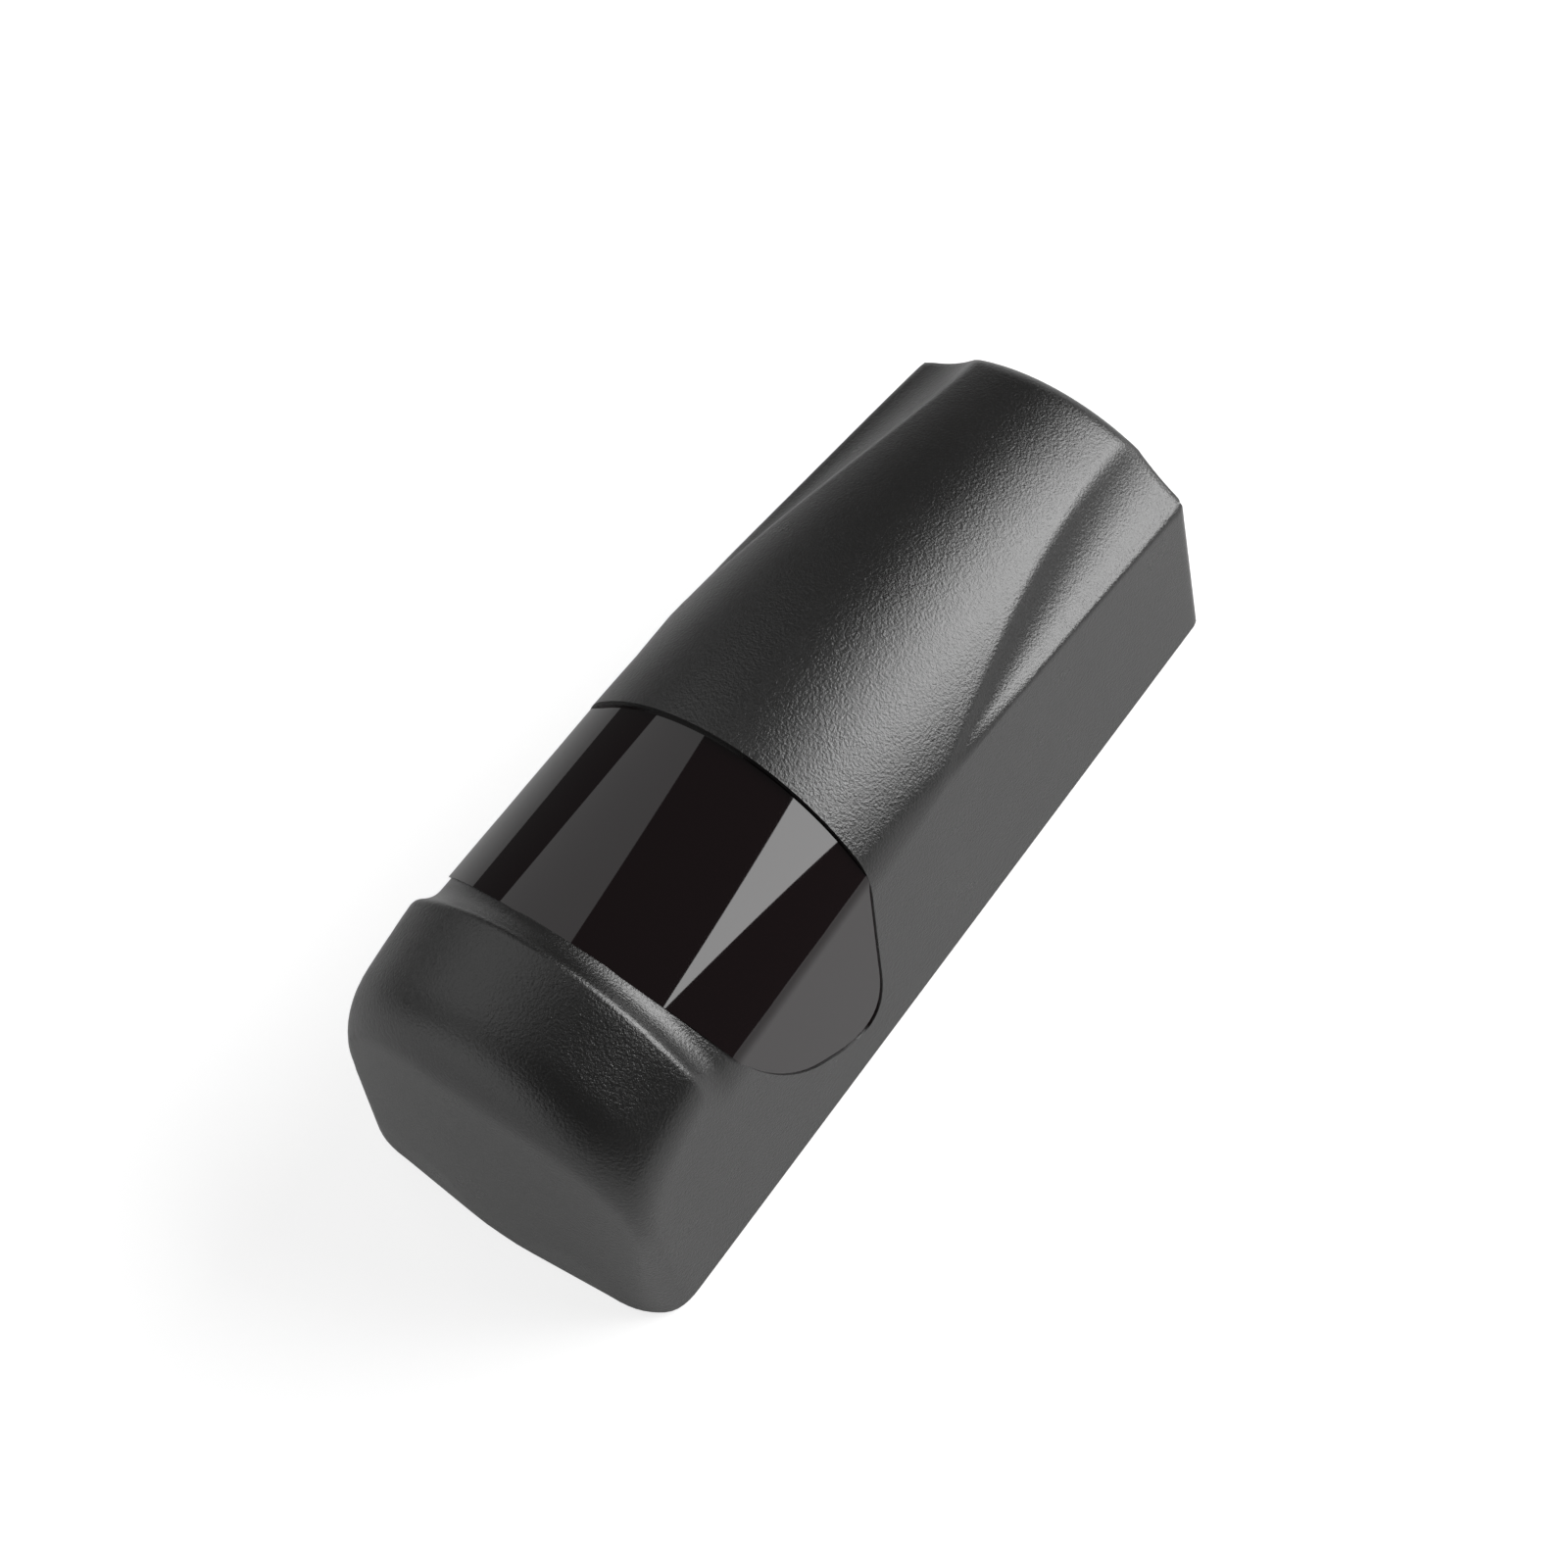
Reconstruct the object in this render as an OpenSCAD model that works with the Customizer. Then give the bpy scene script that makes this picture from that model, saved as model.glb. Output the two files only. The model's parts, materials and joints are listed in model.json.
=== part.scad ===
// Wall-mounted safety photocell for a powered gate, in millimetres.
// A snap-fit front cover with a wrap-round dark window closes a shallow wall base.
// The base carries the relay board and a lens head that pans and tilts behind the window.
//
// Design frame: x across the case, y out from the wall, z up from the bottom corner of the sides.
// place() turns that into the part's frame: front towards -y, origin between the two lower wall screws.

/* [Case] */
// Height of the case sides, bottom corner to top corner
case_h = 110; // [108:1:116]
// Width of the case at the wall, bottom end
case_bottom_w = 40.6; // [40:0.2:43]
// Width of the case at the wall, top end
case_top_w = 45.4; // [45:0.2:48]
// How far the top end face bows out at its middle
top_bow = 2.3; // [0.5:0.1:2.6]
// How far the bottom end face bows out at its middle
bottom_bow = 1.9; // [0.5:0.1:2.2]
// Slope of the side walls towards the front, in degrees
side_draft = 3.7; // [3.5:0.1:4]
// Slope of the top end wall towards the front, in degrees
end_draft = 2; // [1.5:0.25:2]
// Slope of the bottom end wall towards the front, in degrees
bottom_draft = 3.4; // [2.8:0.1:3.6]
// Thickness of the cover's sides, front and bottom
wall = 1.6; // [1.3:0.1:1.8]
// Thickness of the cover's top end wall
top_wall = 2.6; // [2:0.1:3]
// Running gap between the cover and what it slides over
cover_gap = 0.35; // [0.25:0.05:0.45]

/* [Hood] */
// Depth of the hood's crown, from the wall
crown_d = 42.5; // [42.2:0.1:42.8]
// Height at which the crown is deepest
crown_z = 64; // [62:0.5:65]
// Radius of the hood across the case
hood_r = 24.2; // [24:0.1:24.4]
// Radius of the crown line along the case
crown_r = 257; // [220:1:320]
// Radius of the hood's bottom front edge
hood_edge_r = 4; // [2.5:0.5:4.5]
// Height of the tip where each corner scoop runs out
scoop_h = 49.6; // [44:0.5:54]
// Half width of the hood between the scoops, at the bottom end
scoop_x = 10.5; // [9:0.5:12]
// Half angle of the cone that hollows each scoop, in degrees
scoop_angle = 19; // [16:0.5:24]

/* [Window] */
// Height of the lower seam, at the crown
seam_z = 63.3; // [62:0.5:65]
// Height of the window's top edge, at the crown
lip_z = 93.4; // [93:0.1:94]
// Step from the hood's crown down to the window
window_step = 0.75; // [0.6:0.05:0.9]
// How far the window leans back over its height
window_lean = 0.75; // [0:0.05:1.5]
// Step from the cover's side down to the window
window_side_step = 0.2; // [0.1:0.05:0.3]
// Thickness of the window
window_t = 1.8; // [1.6:0.1:2]
// Gap round the window in its opening
window_gap = 0.15; // [0.1:0.05:0.3]
// Width of the flange behind the opening's edge
flange_w = 1.5; // [1:0.1:2]
// Thickness of that flange
flange_t = 0.7; // [0.5:0.1:0.8]

/* [Cap] */
// Depth of the cap's front, from the wall
cap_d = 43.4; // [43:0.1:43.8]
// Radius of the cap across the case
cap_r = 26.2; // [25.8:0.1:26.4]
// How far the cap's front falls back from the lip to the end edge
cap_fall = 1.4; // [0.8:0.1:1.6]
// Radius of the cap's front corners
cap_corner_r = 4.5; // [4:0.25:5]
// Radius of the edge between the cap's front and the end face
cap_edge_r = 9; // [7:0.5:10]
// Height of the sloped lip round the window's top edge
lip_h = 2.2; // [2:0.1:2.4]

/* [Base] */
// Depth of the base's side walls
base_wall_d = 9; // [8.5:0.5:9.5]
// Thickness of the base's side walls
rim_w = 1.7; // [1.4:0.1:1.9]
// Depth of the recess in the back
recess_d = 1.65; // [1.2:0.05:2]
// Thickness of the base's floor
floor_t = 2; // [1.6:0.1:2.4]
// Height of the cable bay at the bottom end
bay_h = 19; // [18:0.5:20]
// Depth of the cable bay
bay_d = 5; // [4.6:0.1:5.2]
// Width of the cable notch in the bottom end
notch_w = 8.2; // [8:0.1:8.6]
// Depth of the cable notch
notch_d = 4.2; // [4.1:0.1:4.5]
// Distance between the two lower wall screws
lower_screw_pitch = 24.6; // [24:0.1:25]
// Height of the lower wall screws
lower_screw_z = 11; // [10.5:0.5:12]
// Diameter of the lower wall screw holes
wall_screw_d = 4.2; // [3.8:0.1:4.5]
// Height of the upper wall screw slot
slot_z = 104.6; // [103:0.1:104.8]
// Length of the upper slot
slot_l = 6; // [5.4:0.1:6.4]
// Outer diameter of the screw bosses
screw_boss_d = 8; // [7.4:0.1:8.4]

/* [Cable entry] */
// Height of the cable hole in the bay floor
cable_z = 6.9; // [6.7:0.1:7.2]
// Diameter of the cable hole
cable_hole_d = 7.4; // [7:0.1:7.6]
// Diameter of the cable that the grommet grips
cable_d = 5.4; // [4.8:0.1:5.6]

/* [Board] */
// Gap between the relay board and the rim on each side
board_gap = 0.34; // [0.2:0.02:0.8]
// Lower edge of the relay board
board_z0 = 19.8; // [19.5:0.1:20.2]
// Upper edge of the relay board
board_z1 = 61.6; // [61:0.2:62]
// Thickness of the relay board
board_t = 1.6; // [1.2:0.2:1.6]
// Number of terminals
terminals = 5; // [3:1:5]
// Pitch of the terminals
terminal_pitch = 5; // [4.8:0.04:5.08]

/* [Lens head] */
// Height of the tilt axis
head_z = 79; // [78.5:0.1:79.5]
// Gap between the turning head and the window in front of it, and the bracket behind it
head_gap = 1.7; // [1.3:0.1:2]
// Angle of the tube's front rim off the lens axis, seen from the pan axis, in degrees
front_rim_angle = 32; // [30:0.5:33]
// Angle of the tube's back rim off the lens axis, in degrees
back_rim_angle = 49.5; // [48:0.5:52]
// Wall of the lens tube
tube_wall = 1.3; // [1.1:0.1:1.4]
// Radius of the tilt pins
tilt_pin_r = 2; // [1.6:0.1:2.4]
// Radius of the pan screw's plain shank
pan_pin_r = 1.5; // [1.3:0.1:1.8]
// Running clearance on both pins, on the radius
pin_gap = 0.06; // [0.04:0.01:0.09]

/* [Hidden] */

// Facets of round things: small ones, large arcs, and the long crown line
small_facets = 48;
arc_facets = 160;
crown_facets = 720;
// Length that reaches past the whole case, and the overrun of cuts
reach = 2 * case_h;
overrun = 0.5;
// Gap left between pieces that seat against each other
seat_gap = 0.05;

// Case outline worked out from the sizes above
side_taper = (case_top_w - case_bottom_w) / 2 / case_h;
top_r = bow_radius(case_top_w / 2, top_bow);
bottom_r = bow_radius(case_bottom_w / 2, bottom_bow);
split_z = (seam_z + lip_z) / 2;
// Cap: top of the lip, turning axis of the end edge, and slope of the front
lip_top = lip_z + lip_h;
cap_edge_z = case_h + top_bow - tan(end_draft) * (cap_d - cap_fall - cap_edge_r) - cap_edge_r;
cap_slope = cap_fall / (cap_edge_z - lip_top);
cap_run = sqrt(1 + cap_slope * cap_slope);
// Slope of the cone that fills the cap up to the end face, which cuts it
cap_fill_slope = end_draft + 3;

// Hood: slope of the crown line at the bottom end, and the axis that its bottom edge turns about
crown_slope = tan(asin(crown_z / crown_r));
hood_end_axis = crown_at(0) - hood_r;
hood_edge_z = hood_edge_r - bottom_bow + tan(bottom_draft) * (crown_at(0) - hood_edge_r);
hood_edge_x = hood_r + crown_slope * hood_edge_z - hood_edge_r * sqrt(1 + crown_slope * crown_slope);

// Window outline: depth shares of the crown's depth, height shares of the window's height
window_h = lip_z - seam_z;
seam_start_share = [0.341, 0.088];
tip_low_share = [0.083, 0.1];
tip_high_share = [0.127, 0.262];
brow_start_share = [0.244, 0.471];
brow_low_share = [0.307, 0.605];
brow_high_share = [0.476, 0.768];
brow_end_share = [0.715, 0.879];
front_share = 1.3;
brow_front_share = [front_share, 1.08];
seam_front_share = [front_share, -0.01];
curve_steps = 10;

// Cover, base and seal
flange_x = wall + seat_gap;
lower_screw_x = lower_screw_pitch / 2;
floor_top = recess_d + floor_t;
bay_top = bay_d + floor_t;
step_z = bay_h - floor_t;
seal_h = 1.1;
seal_w = rim_w - 2 * seat_gap;
catch_l = 6;
catch_h = 0.25;
catch_w = 1.2;
catch_d = 5.5;
catch_shares = [0.41, 0.76];
slot_w = wall_screw_d;
pad_w = 11;
pocket_w = 5;
pocket_h = 3.4;
bay_rib_t = 1.2;
bay_rib_d = 1.8;

// Grommet
grommet_flange_r = 4.4;
grommet_flange_t = 0.9;

// Board posts, board and its screws
post_r = 2.6;
post_pilot_r = 1.15;
self_tap_r = 1.1;
screw_head_r = 2.2;
screw_head_h = 1.5;
screw_slot_w = 0.7;
screw_slot_h = 0.7;
board_d = base_wall_d + seat_gap;
board_front = board_d + board_t;
board_half = min(side_at(board_front, board_z0), side_at(board_front, board_z1)) - wall - cover_gap - rim_w - board_gap;
board_w = 2 * board_half;
board_corner_r = 1.5;
board_hole_r = 1.4;
post_x = 13.4;
post_low_z = 33.4;
post_high_z = 57.6;
post_places = [[post_x, post_low_z], [-post_x, post_high_z]];
rest_places = [[-post_x, board_z0 + post_r], [post_x, post_high_z]];

// Terminal block and its clamps
block_z0 = 20.6;
block_l = 8.6;
block_h = 10;
block_w = terminals * terminal_pitch;
entry_w = 3.8;
entry_h = 4.7;
entry_lift = 0.8;
entry_l = 6.4;
clamp_w = 3.4;
clamp_h = 4.4;
clamp_l = 3.6;
clamp_wall = 0.6;
clamp_inset = 1.2;
clamp_screw_r = 1.3;
clamp_head_r = 1.8;
clamp_head_h = 1.5;
clamp_bore_r = 2;
clamp_lift = block_h - 2;

// Relay and capacitors
relay_size = [15, 18.6, 15.2];
relay_x = -8.2;
relay_z = 42.9;
relay_r = 0.8;
relay_foot = 0.6;
relay_foot_w = 0.4;
can_r = 4;
can_h = 11.5;
can_x = 4.6;
can_z = 48;
small_can_r = 3.2;
small_can_h = 8;
small_can_x = 3.6;
small_can_z = 39.4;
can_groove = 0.35;
can_groove_share = 0.16;

// Other parts on the board
disc_r = 4.4;
disc_t = 3.4;
disc_x = 4.8;
disc_z = 32.4;
leg_w = 0.6;
leg_h = 1.5;
dip_size = [6.4, 6.4, 2.6];
dip_x = 5.6;
dip_z = 57;
dip_pitch = 5.08;
reg_size = [6.4, 6, 2.3];
reg_x = 11.8;
reg_z = 40.8;
reg_tab = 1.6;
chip_size = [4, 8, 1.5];
chip_x = -2.6;
chip_z = 56.6;
chip_pins = 6;
chip_pitch = 1.27;
chip_leg_w = 0.45;
chip_leg_h = 0.6;
chip_leg_l = 0.9;
crystal_l = 7;
crystal_w = 3.6;
crystal_h = 2.2;
crystal_x = 12.4;
crystal_z = 50.4;
crystal_flange = 0.35;
led_r = 1.5;
led_h = 4.4;
led_flange_r = 1.8;
led_flange_h = 0.9;
led_x = -2;
led_z = 31.4;
pin_w = 0.64;
pin_pitch = 2.54;
pin_h = 6;
pin_base_h = 2.4;
pins_x = 14.4;
pins_z = 25;
cap_block_h = 5;
smd_size = [1.25, 2, 0.6];
smd_count = 3;
smd_low = [-12.4, 31.6];
smd_high = [12.6, 58.8];
smd_pitch = 2.7;
socket_size = [4.2, 7.6, 6];
socket_wall = 0.8;
socket_pins = 3;
socket_pitch = 2;
socket_x = -8.2;
socket_z = 56.8;
socket_floor = 1.4;

// Lens head: the circle that each rim sweeps as the head pans fills the room between bracket and window
upright_d = 7;
upright_t = 2;
ring_t = 1;
head_front_d = crown_d - window_step - window_lean - window_t - head_gap;
head_back_d = upright_d + upright_t + head_gap;
rim_share = sin(front_rim_angle) / sin(back_rim_angle);
front_sweep_r = (head_front_d - head_back_d) / (1 + rim_share);
pan_d = head_front_d - front_sweep_r;
tube_r = front_sweep_r * sin(front_rim_angle);
tube_front = front_sweep_r * cos(front_rim_angle) - ring_t - seat_gap;
tube_back = tube_r / tan(back_rim_angle);

// Swivel bracket and yoke
shelf_t = 2.5;
shelf_gap = 0.1;
floor_drop = 11;
yoke_floor_t = 1.8;
yoke_floor_z = head_z - floor_drop - yoke_floor_t;
shelf_z = yoke_floor_z - shelf_gap - shelf_t;
shelf_nose_r = 9.5;
upright_h = 13;
upright_w = 27;
bracket_screw_x = 10;
bracket_screw_z = shelf_z + 8;
bracket_rib_t = 1.4;
bracket_rib_l = 8;
bracket_rib_h = 2;
cheek_gap = 0.7;
cheek_t = 1.8;
cheek_r = 4.6;
cheek_x = tube_r + cheek_gap;
yoke_r = cheek_x + cheek_t;
pan_head_r = 2.8;
pan_head_h = 1.2;
washer_t = 0.4;
washer_r = 3.2;
pan_thread_l = 4.5;
ring_w = 2.2;
ring_bore_r = tube_r - ring_w;
lens_t = 2;
lens_rise = 1.1;
lens_bow = 1.8;
lens_seat = 2.6;
lens_ledge = 0.5;
bore_r = tube_r - tube_wall;
lens_r = bore_r + lens_ledge;
pin_root = 0.4;
sensor_board_t = 1;
socket_room = 1.4;
diode_r = 2.5;
diode_h = 4.6;
diode_flange_r = 2.9;
diode_flange_h = 1;
cap_t = 1.2;
sensor_board_y = cap_t + socket_room - tube_back;
cap_slot_w = 6.6;
cap_slot_h = 4;
head_socket_size = [6, 3.4, 2.6];

// Radius of an arc that rises by bow over half of its width
function bow_radius(half, bow) = (half * half + bow * bow) / (2 * bow);
// Depth of the hood's crown at height z
function crown_at(z) = crown_d - crown_r + sqrt(crown_r * crown_r - (z - crown_z) * (z - crown_z));
// Depth of the hood at a place across the case
function hood_at(x, z) = crown_at(z) - hood_r + sqrt(hood_r * hood_r - x * x);
// Half width of the case at a depth and height
function side_at(y, z) = case_bottom_w / 2 + side_taper * z - tan(side_draft) * y;
// Point where the hood meets the side face at height z, found by a few steps
function crease_at(z, y = 0, steps = 6) = steps == 0 ? [side_at(y, z), y, z]
    : crease_at(z, hood_at(side_at(y, z), z), steps - 1);
function unit(v) = v / norm(v);
// Points of a cubic curve through p[0] and p[3], without its last point
function curve(p) = [for (i = [0 : curve_steps - 1]) let (t = i / curve_steps, s = 1 - t)
    s * s * s * p[0] + 3 * s * s * t * p[1] + 3 * s * t * t * p[2] + t * t * t * p[3]];
function window_point(share) = [share[0] * crown_d, seam_z + share[1] * window_h];

// Side view of the window: depth and height, moved inwards by inset
function window_line() = concat([window_point(seam_front_share)],
    curve([for (s = [seam_start_share, tip_low_share, tip_high_share, brow_start_share]) window_point(s)]),
    curve([for (s = [brow_start_share, brow_low_share, brow_high_share, brow_end_share]) window_point(s)]),
    [window_point(brow_end_share), window_point(brow_front_share)]);
function window_outline(inset) = let (p = window_line(), n = len(p))
    [for (i = [0 : n - 1]) let (along = unit(p[min(i + 1, n - 1)] - p[max(i - 1, 0)]))
        p[i] + inset * [along[1], -along[0]]];

module place() {
    translate([0, 0, -lower_screw_z])
    mirror([0, 1, 0])
    children();
}

// Everything on the inner side of one drafted, tapered side face
module side_half(half) {
    translate([half, 0, 0])
    rotate([0, atan(side_taper * cos(side_draft)), side_draft])
    translate([-reach, -reach, -reach])
    cube([reach, 2 * reach, 2 * reach]);
}

module sides(inset) {
    intersection() {
        side_half(case_bottom_w / 2 - inset);
        mirror([1, 0, 0]) side_half(case_bottom_w / 2 - inset);
    }
}

// Everything between the bowed end faces, with each moved inwards
module ends(top_inset, bottom_inset) {
    intersection() {
        translate([0, 0, case_h + top_bow - top_r])
        rotate([-90 - end_draft, 0, 0])
        cylinder(r = top_r - top_inset, h = 2 * reach, center = true, $fn = crown_facets);
        translate([0, 0, bottom_r - bottom_bow])
        rotate([bottom_draft - 90, 0, 0])
        cylinder(r = bottom_r - bottom_inset, h = 2 * reach, center = true, $fn = crown_facets);
    }
}

// A block across the whole case between two depths and two heights
module slab(y0, y1, z0, z1) {
    translate([-reach / 2, y0, z0])
    cube([reach, y1 - y0, z1 - z0]);
}

// The hood: an arc across the case, swept along the arched crown line
module hood(inset) {
    translate([0, crown_d - crown_r, crown_z])
    rotate([0, 90, 0])
    rotate_extrude($fn = crown_facets) {
        translate([crown_r - hood_r, 0])
        circle(r = hood_r - inset, $fn = arc_facets);
        translate([crown_r - hood_r - case_top_w, -case_top_w])
        square([case_top_w, 2 * case_top_w]);
    }
}

// Rounds the hood's bottom front edge
module hood_end(inset) {
    run = sqrt(1 + crown_slope * crown_slope);
    r = hood_edge_r - inset;
    x = hood_edge_x + r / run;
    z = hood_edge_z - r * crown_slope / run;
    translate([0, hood_end_axis, 0])
    rotate_extrude($fn = arc_facets) {
        translate([0, hood_edge_z - r]) square([hood_edge_x, case_h]);
        translate([hood_edge_x, hood_edge_z]) circle(r = r, $fn = arc_facets);
        polygon([[0, z], [x, z], [x + crown_slope * case_h, z + case_h], [0, z + case_h]]);
    }
    slab(-reach, hood_end_axis, -reach, reach);
}

// One corner scoop: a cone with its tip on the crease, through the hood's crest and the side's edge
module scoop(inset) {
    tip = crease_at(scoop_h);
    crest = unit([scoop_x, hood_at(scoop_x, 0), 0] - tip);
    edge = unit(crease_at(0) - tip);
    middle = unit(crest + edge);
    outward = unit(cross(edge, crest));
    lean = acos(cos(scoop_angle) / (middle * crest));
    axis = cos(lean) * middle + sin(lean) * outward;
    start = tip - axis * inset / sin(scoop_angle);
    translate(start)
    rotate([0, acos(axis[2]), atan2(axis[1], axis[0])])
    cylinder(h = case_h, r1 = 0, r2 = case_h * tan(scoop_angle), $fn = arc_facets);
}

module scoops(inset) {
    scoop(inset);
    mirror([1, 0, 0]) scoop(inset);
}

// The window's front: a large cylinder that leans back a little
module window_front(inset) {
    translate([0, crown_d - window_step - hood_r, seam_z])
    rotate([atan(window_lean / window_h), 0, 0])
    cylinder(r = hood_r - inset, h = 2 * reach, center = true, $fn = arc_facets);
    slab(-reach, crown_d - window_step - window_lean - hood_r, -reach, reach);
}

// The cap's front: a lip at the window, a flat arc, and a rounded edge to the end face
module cap_front(inset) {
    lip_r = cap_r - cap_d + crown_d - window_step - window_lean;
    front_r = cap_r - inset * cap_run;
    edge_x = cap_r - cap_fall - cap_edge_r * cap_run;
    round_r = cap_edge_r - inset;
    x = edge_x + round_r / cap_run;
    z = cap_edge_z + round_r * cap_slope / cap_run;
    translate([0, cap_d - cap_r, 0])
    rotate_extrude($fn = arc_facets) {
        translate([0, split_z]) square([lip_r - inset, lip_z - split_z]);
        polygon([[0, lip_z], [lip_r - inset, lip_z], [front_r, lip_top], [x, z], [0, z]]);
        polygon([[0, cap_edge_z], [edge_x, cap_edge_z], [edge_x, cap_edge_z + round_r],
            [0, cap_edge_z + round_r + tan(cap_fill_slope) * edge_x]]);
        translate([edge_x, cap_edge_z]) circle(r = round_r, $fn = arc_facets);
    }
}

// Plan of the cap with rounded front corners
module cap_plan(inset) {
    half = side_at(cap_d - cap_r / 2, case_h);
    ring = cap_r - cap_corner_r;
    x = half - cap_corner_r;
    rise = sqrt(ring * ring - x * x);
    translate([0, cap_d - cap_r]) {
        intersection() {
            circle(r = cap_r - inset, $fn = arc_facets);
            polygon([[0, 0], 2 * [x, rise], [0, 4 * rise], 2 * [-x, rise]]);
        }
        for (s = [-1, 1]) translate([s * x, rise]) circle(r = cap_corner_r - inset, $fn = arc_facets);
        polygon([for (s = [-1, 1]) for (y = s < 0 ? [-reach, rise] : [rise, -reach])
            [s * (half - inset + tan(side_draft) * (rise - y)), y]]);
    }
}

module cap(inset) {
    intersection() {
        linear_extrude(2 * case_h) cap_plan(inset);
        union() {
            cap_front(inset);
            slab(-reach, cap_d - cap_r + overrun, split_z, reach);
        }
    }
}

// The case's outer form
module case_form() {
    difference() {
        intersection() {
            sides(0);
            ends(0, 0);
            slab(0, reach, -reach, reach);
            union() {
                intersection() {
                    hood(0);
                    hood_end(0);
                    slab(-reach, reach, -reach, split_z);
                }
                cap(0);
            }
        }
        scoops(0);
    }
}

// The hollow inside the cover, open at the wall
module case_hollow() {
    cap_floor = lip_top + wall;
    difference() {
        intersection() {
            sides(wall);
            ends(top_wall, wall);
            union() {
                intersection() {
                    hood(wall);
                    hood_end(wall);
                    slab(-reach, reach, -reach, seam_z);
                }
                intersection() {
                    window_front(wall);
                    slab(-reach, reach, seam_z - overrun, cap_floor);
                }
                intersection() {
                    cap(wall);
                    slab(-reach, reach, cap_floor - overrun, reach);
                }
            }
        }
        scoops(wall);
    }
}

// A solid along x with the window's side view
module window_prism(inset) {
    rotate([90, 0, 90])
    linear_extrude(reach, center = true)
    polygon(window_outline(inset));
}

module cable_notch(z0, z1) {
    translate([-notch_w / 2, -overrun, z0])
    cube([notch_w, notch_d + overrun, z1 - z0]);
}

module front_cover() color("#1d1d1f") place() {
    difference() {
        case_form();
        case_hollow();
        window_prism(0);
        cable_notch(-bottom_bow - overrun, wall + overrun);
    }
}

// A shell between two distances inside the case's sides and the window's front
module window_layer(side_outer, side_inner, front_outer, front_inner) {
    difference() {
        intersection() {
            sides(side_outer);
            window_front(front_outer);
        }
        intersection() {
            sides(side_inner);
            window_front(front_inner);
        }
    }
}

module window() color("#160d0f") place() {
    difference() {
        union() {
            intersection() {
                window_layer(window_side_step, window_side_step + window_t, 0, window_t);
                window_prism(window_gap);
            }
            intersection() {
                window_layer(flange_x, flange_x + flange_t, flange_x, flange_x + flange_t);
                difference() {
                    window_prism(-flange_w);
                    window_prism(flange_w);
                }
            }
        }
        intersection() {
            sides(wall);
            slab(0, base_wall_d + seal_h + cover_gap, -reach, reach);
        }
    }
}

// The base's outline between two depths, moved inwards from the cover's inner walls
module base_block(inset, y0, y1) {
    intersection() {
        sides(wall + cover_gap + inset);
        ends(top_wall + cover_gap + inset, wall + cover_gap + inset);
        slab(y0, y1, -reach, reach);
    }
}

module peg(x, z, r, y0, y1) {
    translate([x, y0, z])
    rotate([-90, 0, 0])
    cylinder(r = r, h = y1 - y0, $fn = small_facets);
}

module slot_plan() {
    half = (slot_l - slot_w) / 2;
    for (s = [-1, 1]) translate([s * half, 0]) circle(r = slot_w / 2, $fn = small_facets);
    translate([-half, -slot_w / 2]) square([2 * half, slot_w]);
}

module base() color("#232325") place() {
    difference() {
        union() {
            difference() {
                base_block(0, 0, base_wall_d);
                base_block(rim_w, floor_top, base_wall_d + overrun);
                intersection() {
                    base_block(rim_w, -overrun, recess_d);
                    slab(-overrun, recess_d, bay_h, reach);
                }
            }
            intersection() {
                base_block(0, 0, bay_top);
                slab(0, bay_top, -reach, bay_h);
            }
            intersection() {
                base_block(0, 0, floor_top);
                translate([-pad_w / 2, 0, slot_z - slot_w]) cube([pad_w, floor_top, case_h]);
            }
            for (p = post_places) peg(p[0], p[1], post_r, floor_top - overrun, board_d - seat_gap);
            for (p = rest_places) peg(p[0], p[1], post_r, floor_top - overrun, board_d - seat_gap);
            for (s = [-1, 1]) peg(s * bracket_screw_x, bracket_screw_z, post_r, floor_top - overrun, upright_d - seat_gap);
            base_catches();
        }
        difference() {
            intersection() {
                base_block(rim_w, -overrun, bay_d);
                slab(-overrun, bay_d, -reach, step_z);
            }
            for (s = [-1, 1]) peg(s * lower_screw_x, lower_screw_z, screw_boss_d / 2, 0, bay_top);
            translate([-lower_screw_x, bay_d - bay_rib_d, lower_screw_z + cable_hole_d / 2 - bay_rib_t])
            cube([lower_screw_pitch, bay_rib_d, bay_rib_t]);
        }
        for (s = [-1, 1]) peg(s * lower_screw_x, lower_screw_z, wall_screw_d / 2, -overrun, bay_top + overrun);
        peg(0, cable_z, cable_hole_d / 2, bay_d - overrun, bay_top + overrun);
        cable_notch(-overrun, rim_w + wall + cover_gap);
        translate([0, -overrun, slot_z])
        rotate([90, 0, 0])
        mirror([0, 0, 1])
        linear_extrude(floor_top + 2 * overrun)
        slot_plan();
        translate([slot_l / 2 + pocket_w / 2, recess_d / 2 - overrun, slot_z])
        intersection() {
            translate([-pocket_w / 2, 0, -pocket_h / 2]) cube([pocket_w / 2, recess_d, pocket_h]);
            rotate([-90, 0, 0]) cylinder(r = pocket_w / 2, h = recess_d, $fn = small_facets);
        }
        for (p = post_places) peg(p[0], p[1], post_pilot_r, floor_top, board_d);
        for (s = [-1, 1]) peg(s * bracket_screw_x, bracket_screw_z, post_pilot_r, floor_top, upright_d);
    }
}

// Low catches on the side walls that the cover snaps over
module base_catches() {
    intersection() {
        base_block(-catch_h, catch_d, catch_d + catch_w);
        for (share = catch_shares) slab(catch_d, catch_d + catch_w, share * case_h, share * case_h + catch_l);
    }
}

module cover_seal() color("#2f2f31") place() {
    difference() {
        base_block(seat_gap, base_wall_d, base_wall_d + seal_h);
        base_block(seat_gap + seal_w, base_wall_d - overrun, base_wall_d + seal_h + overrun);
    }
}

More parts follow.
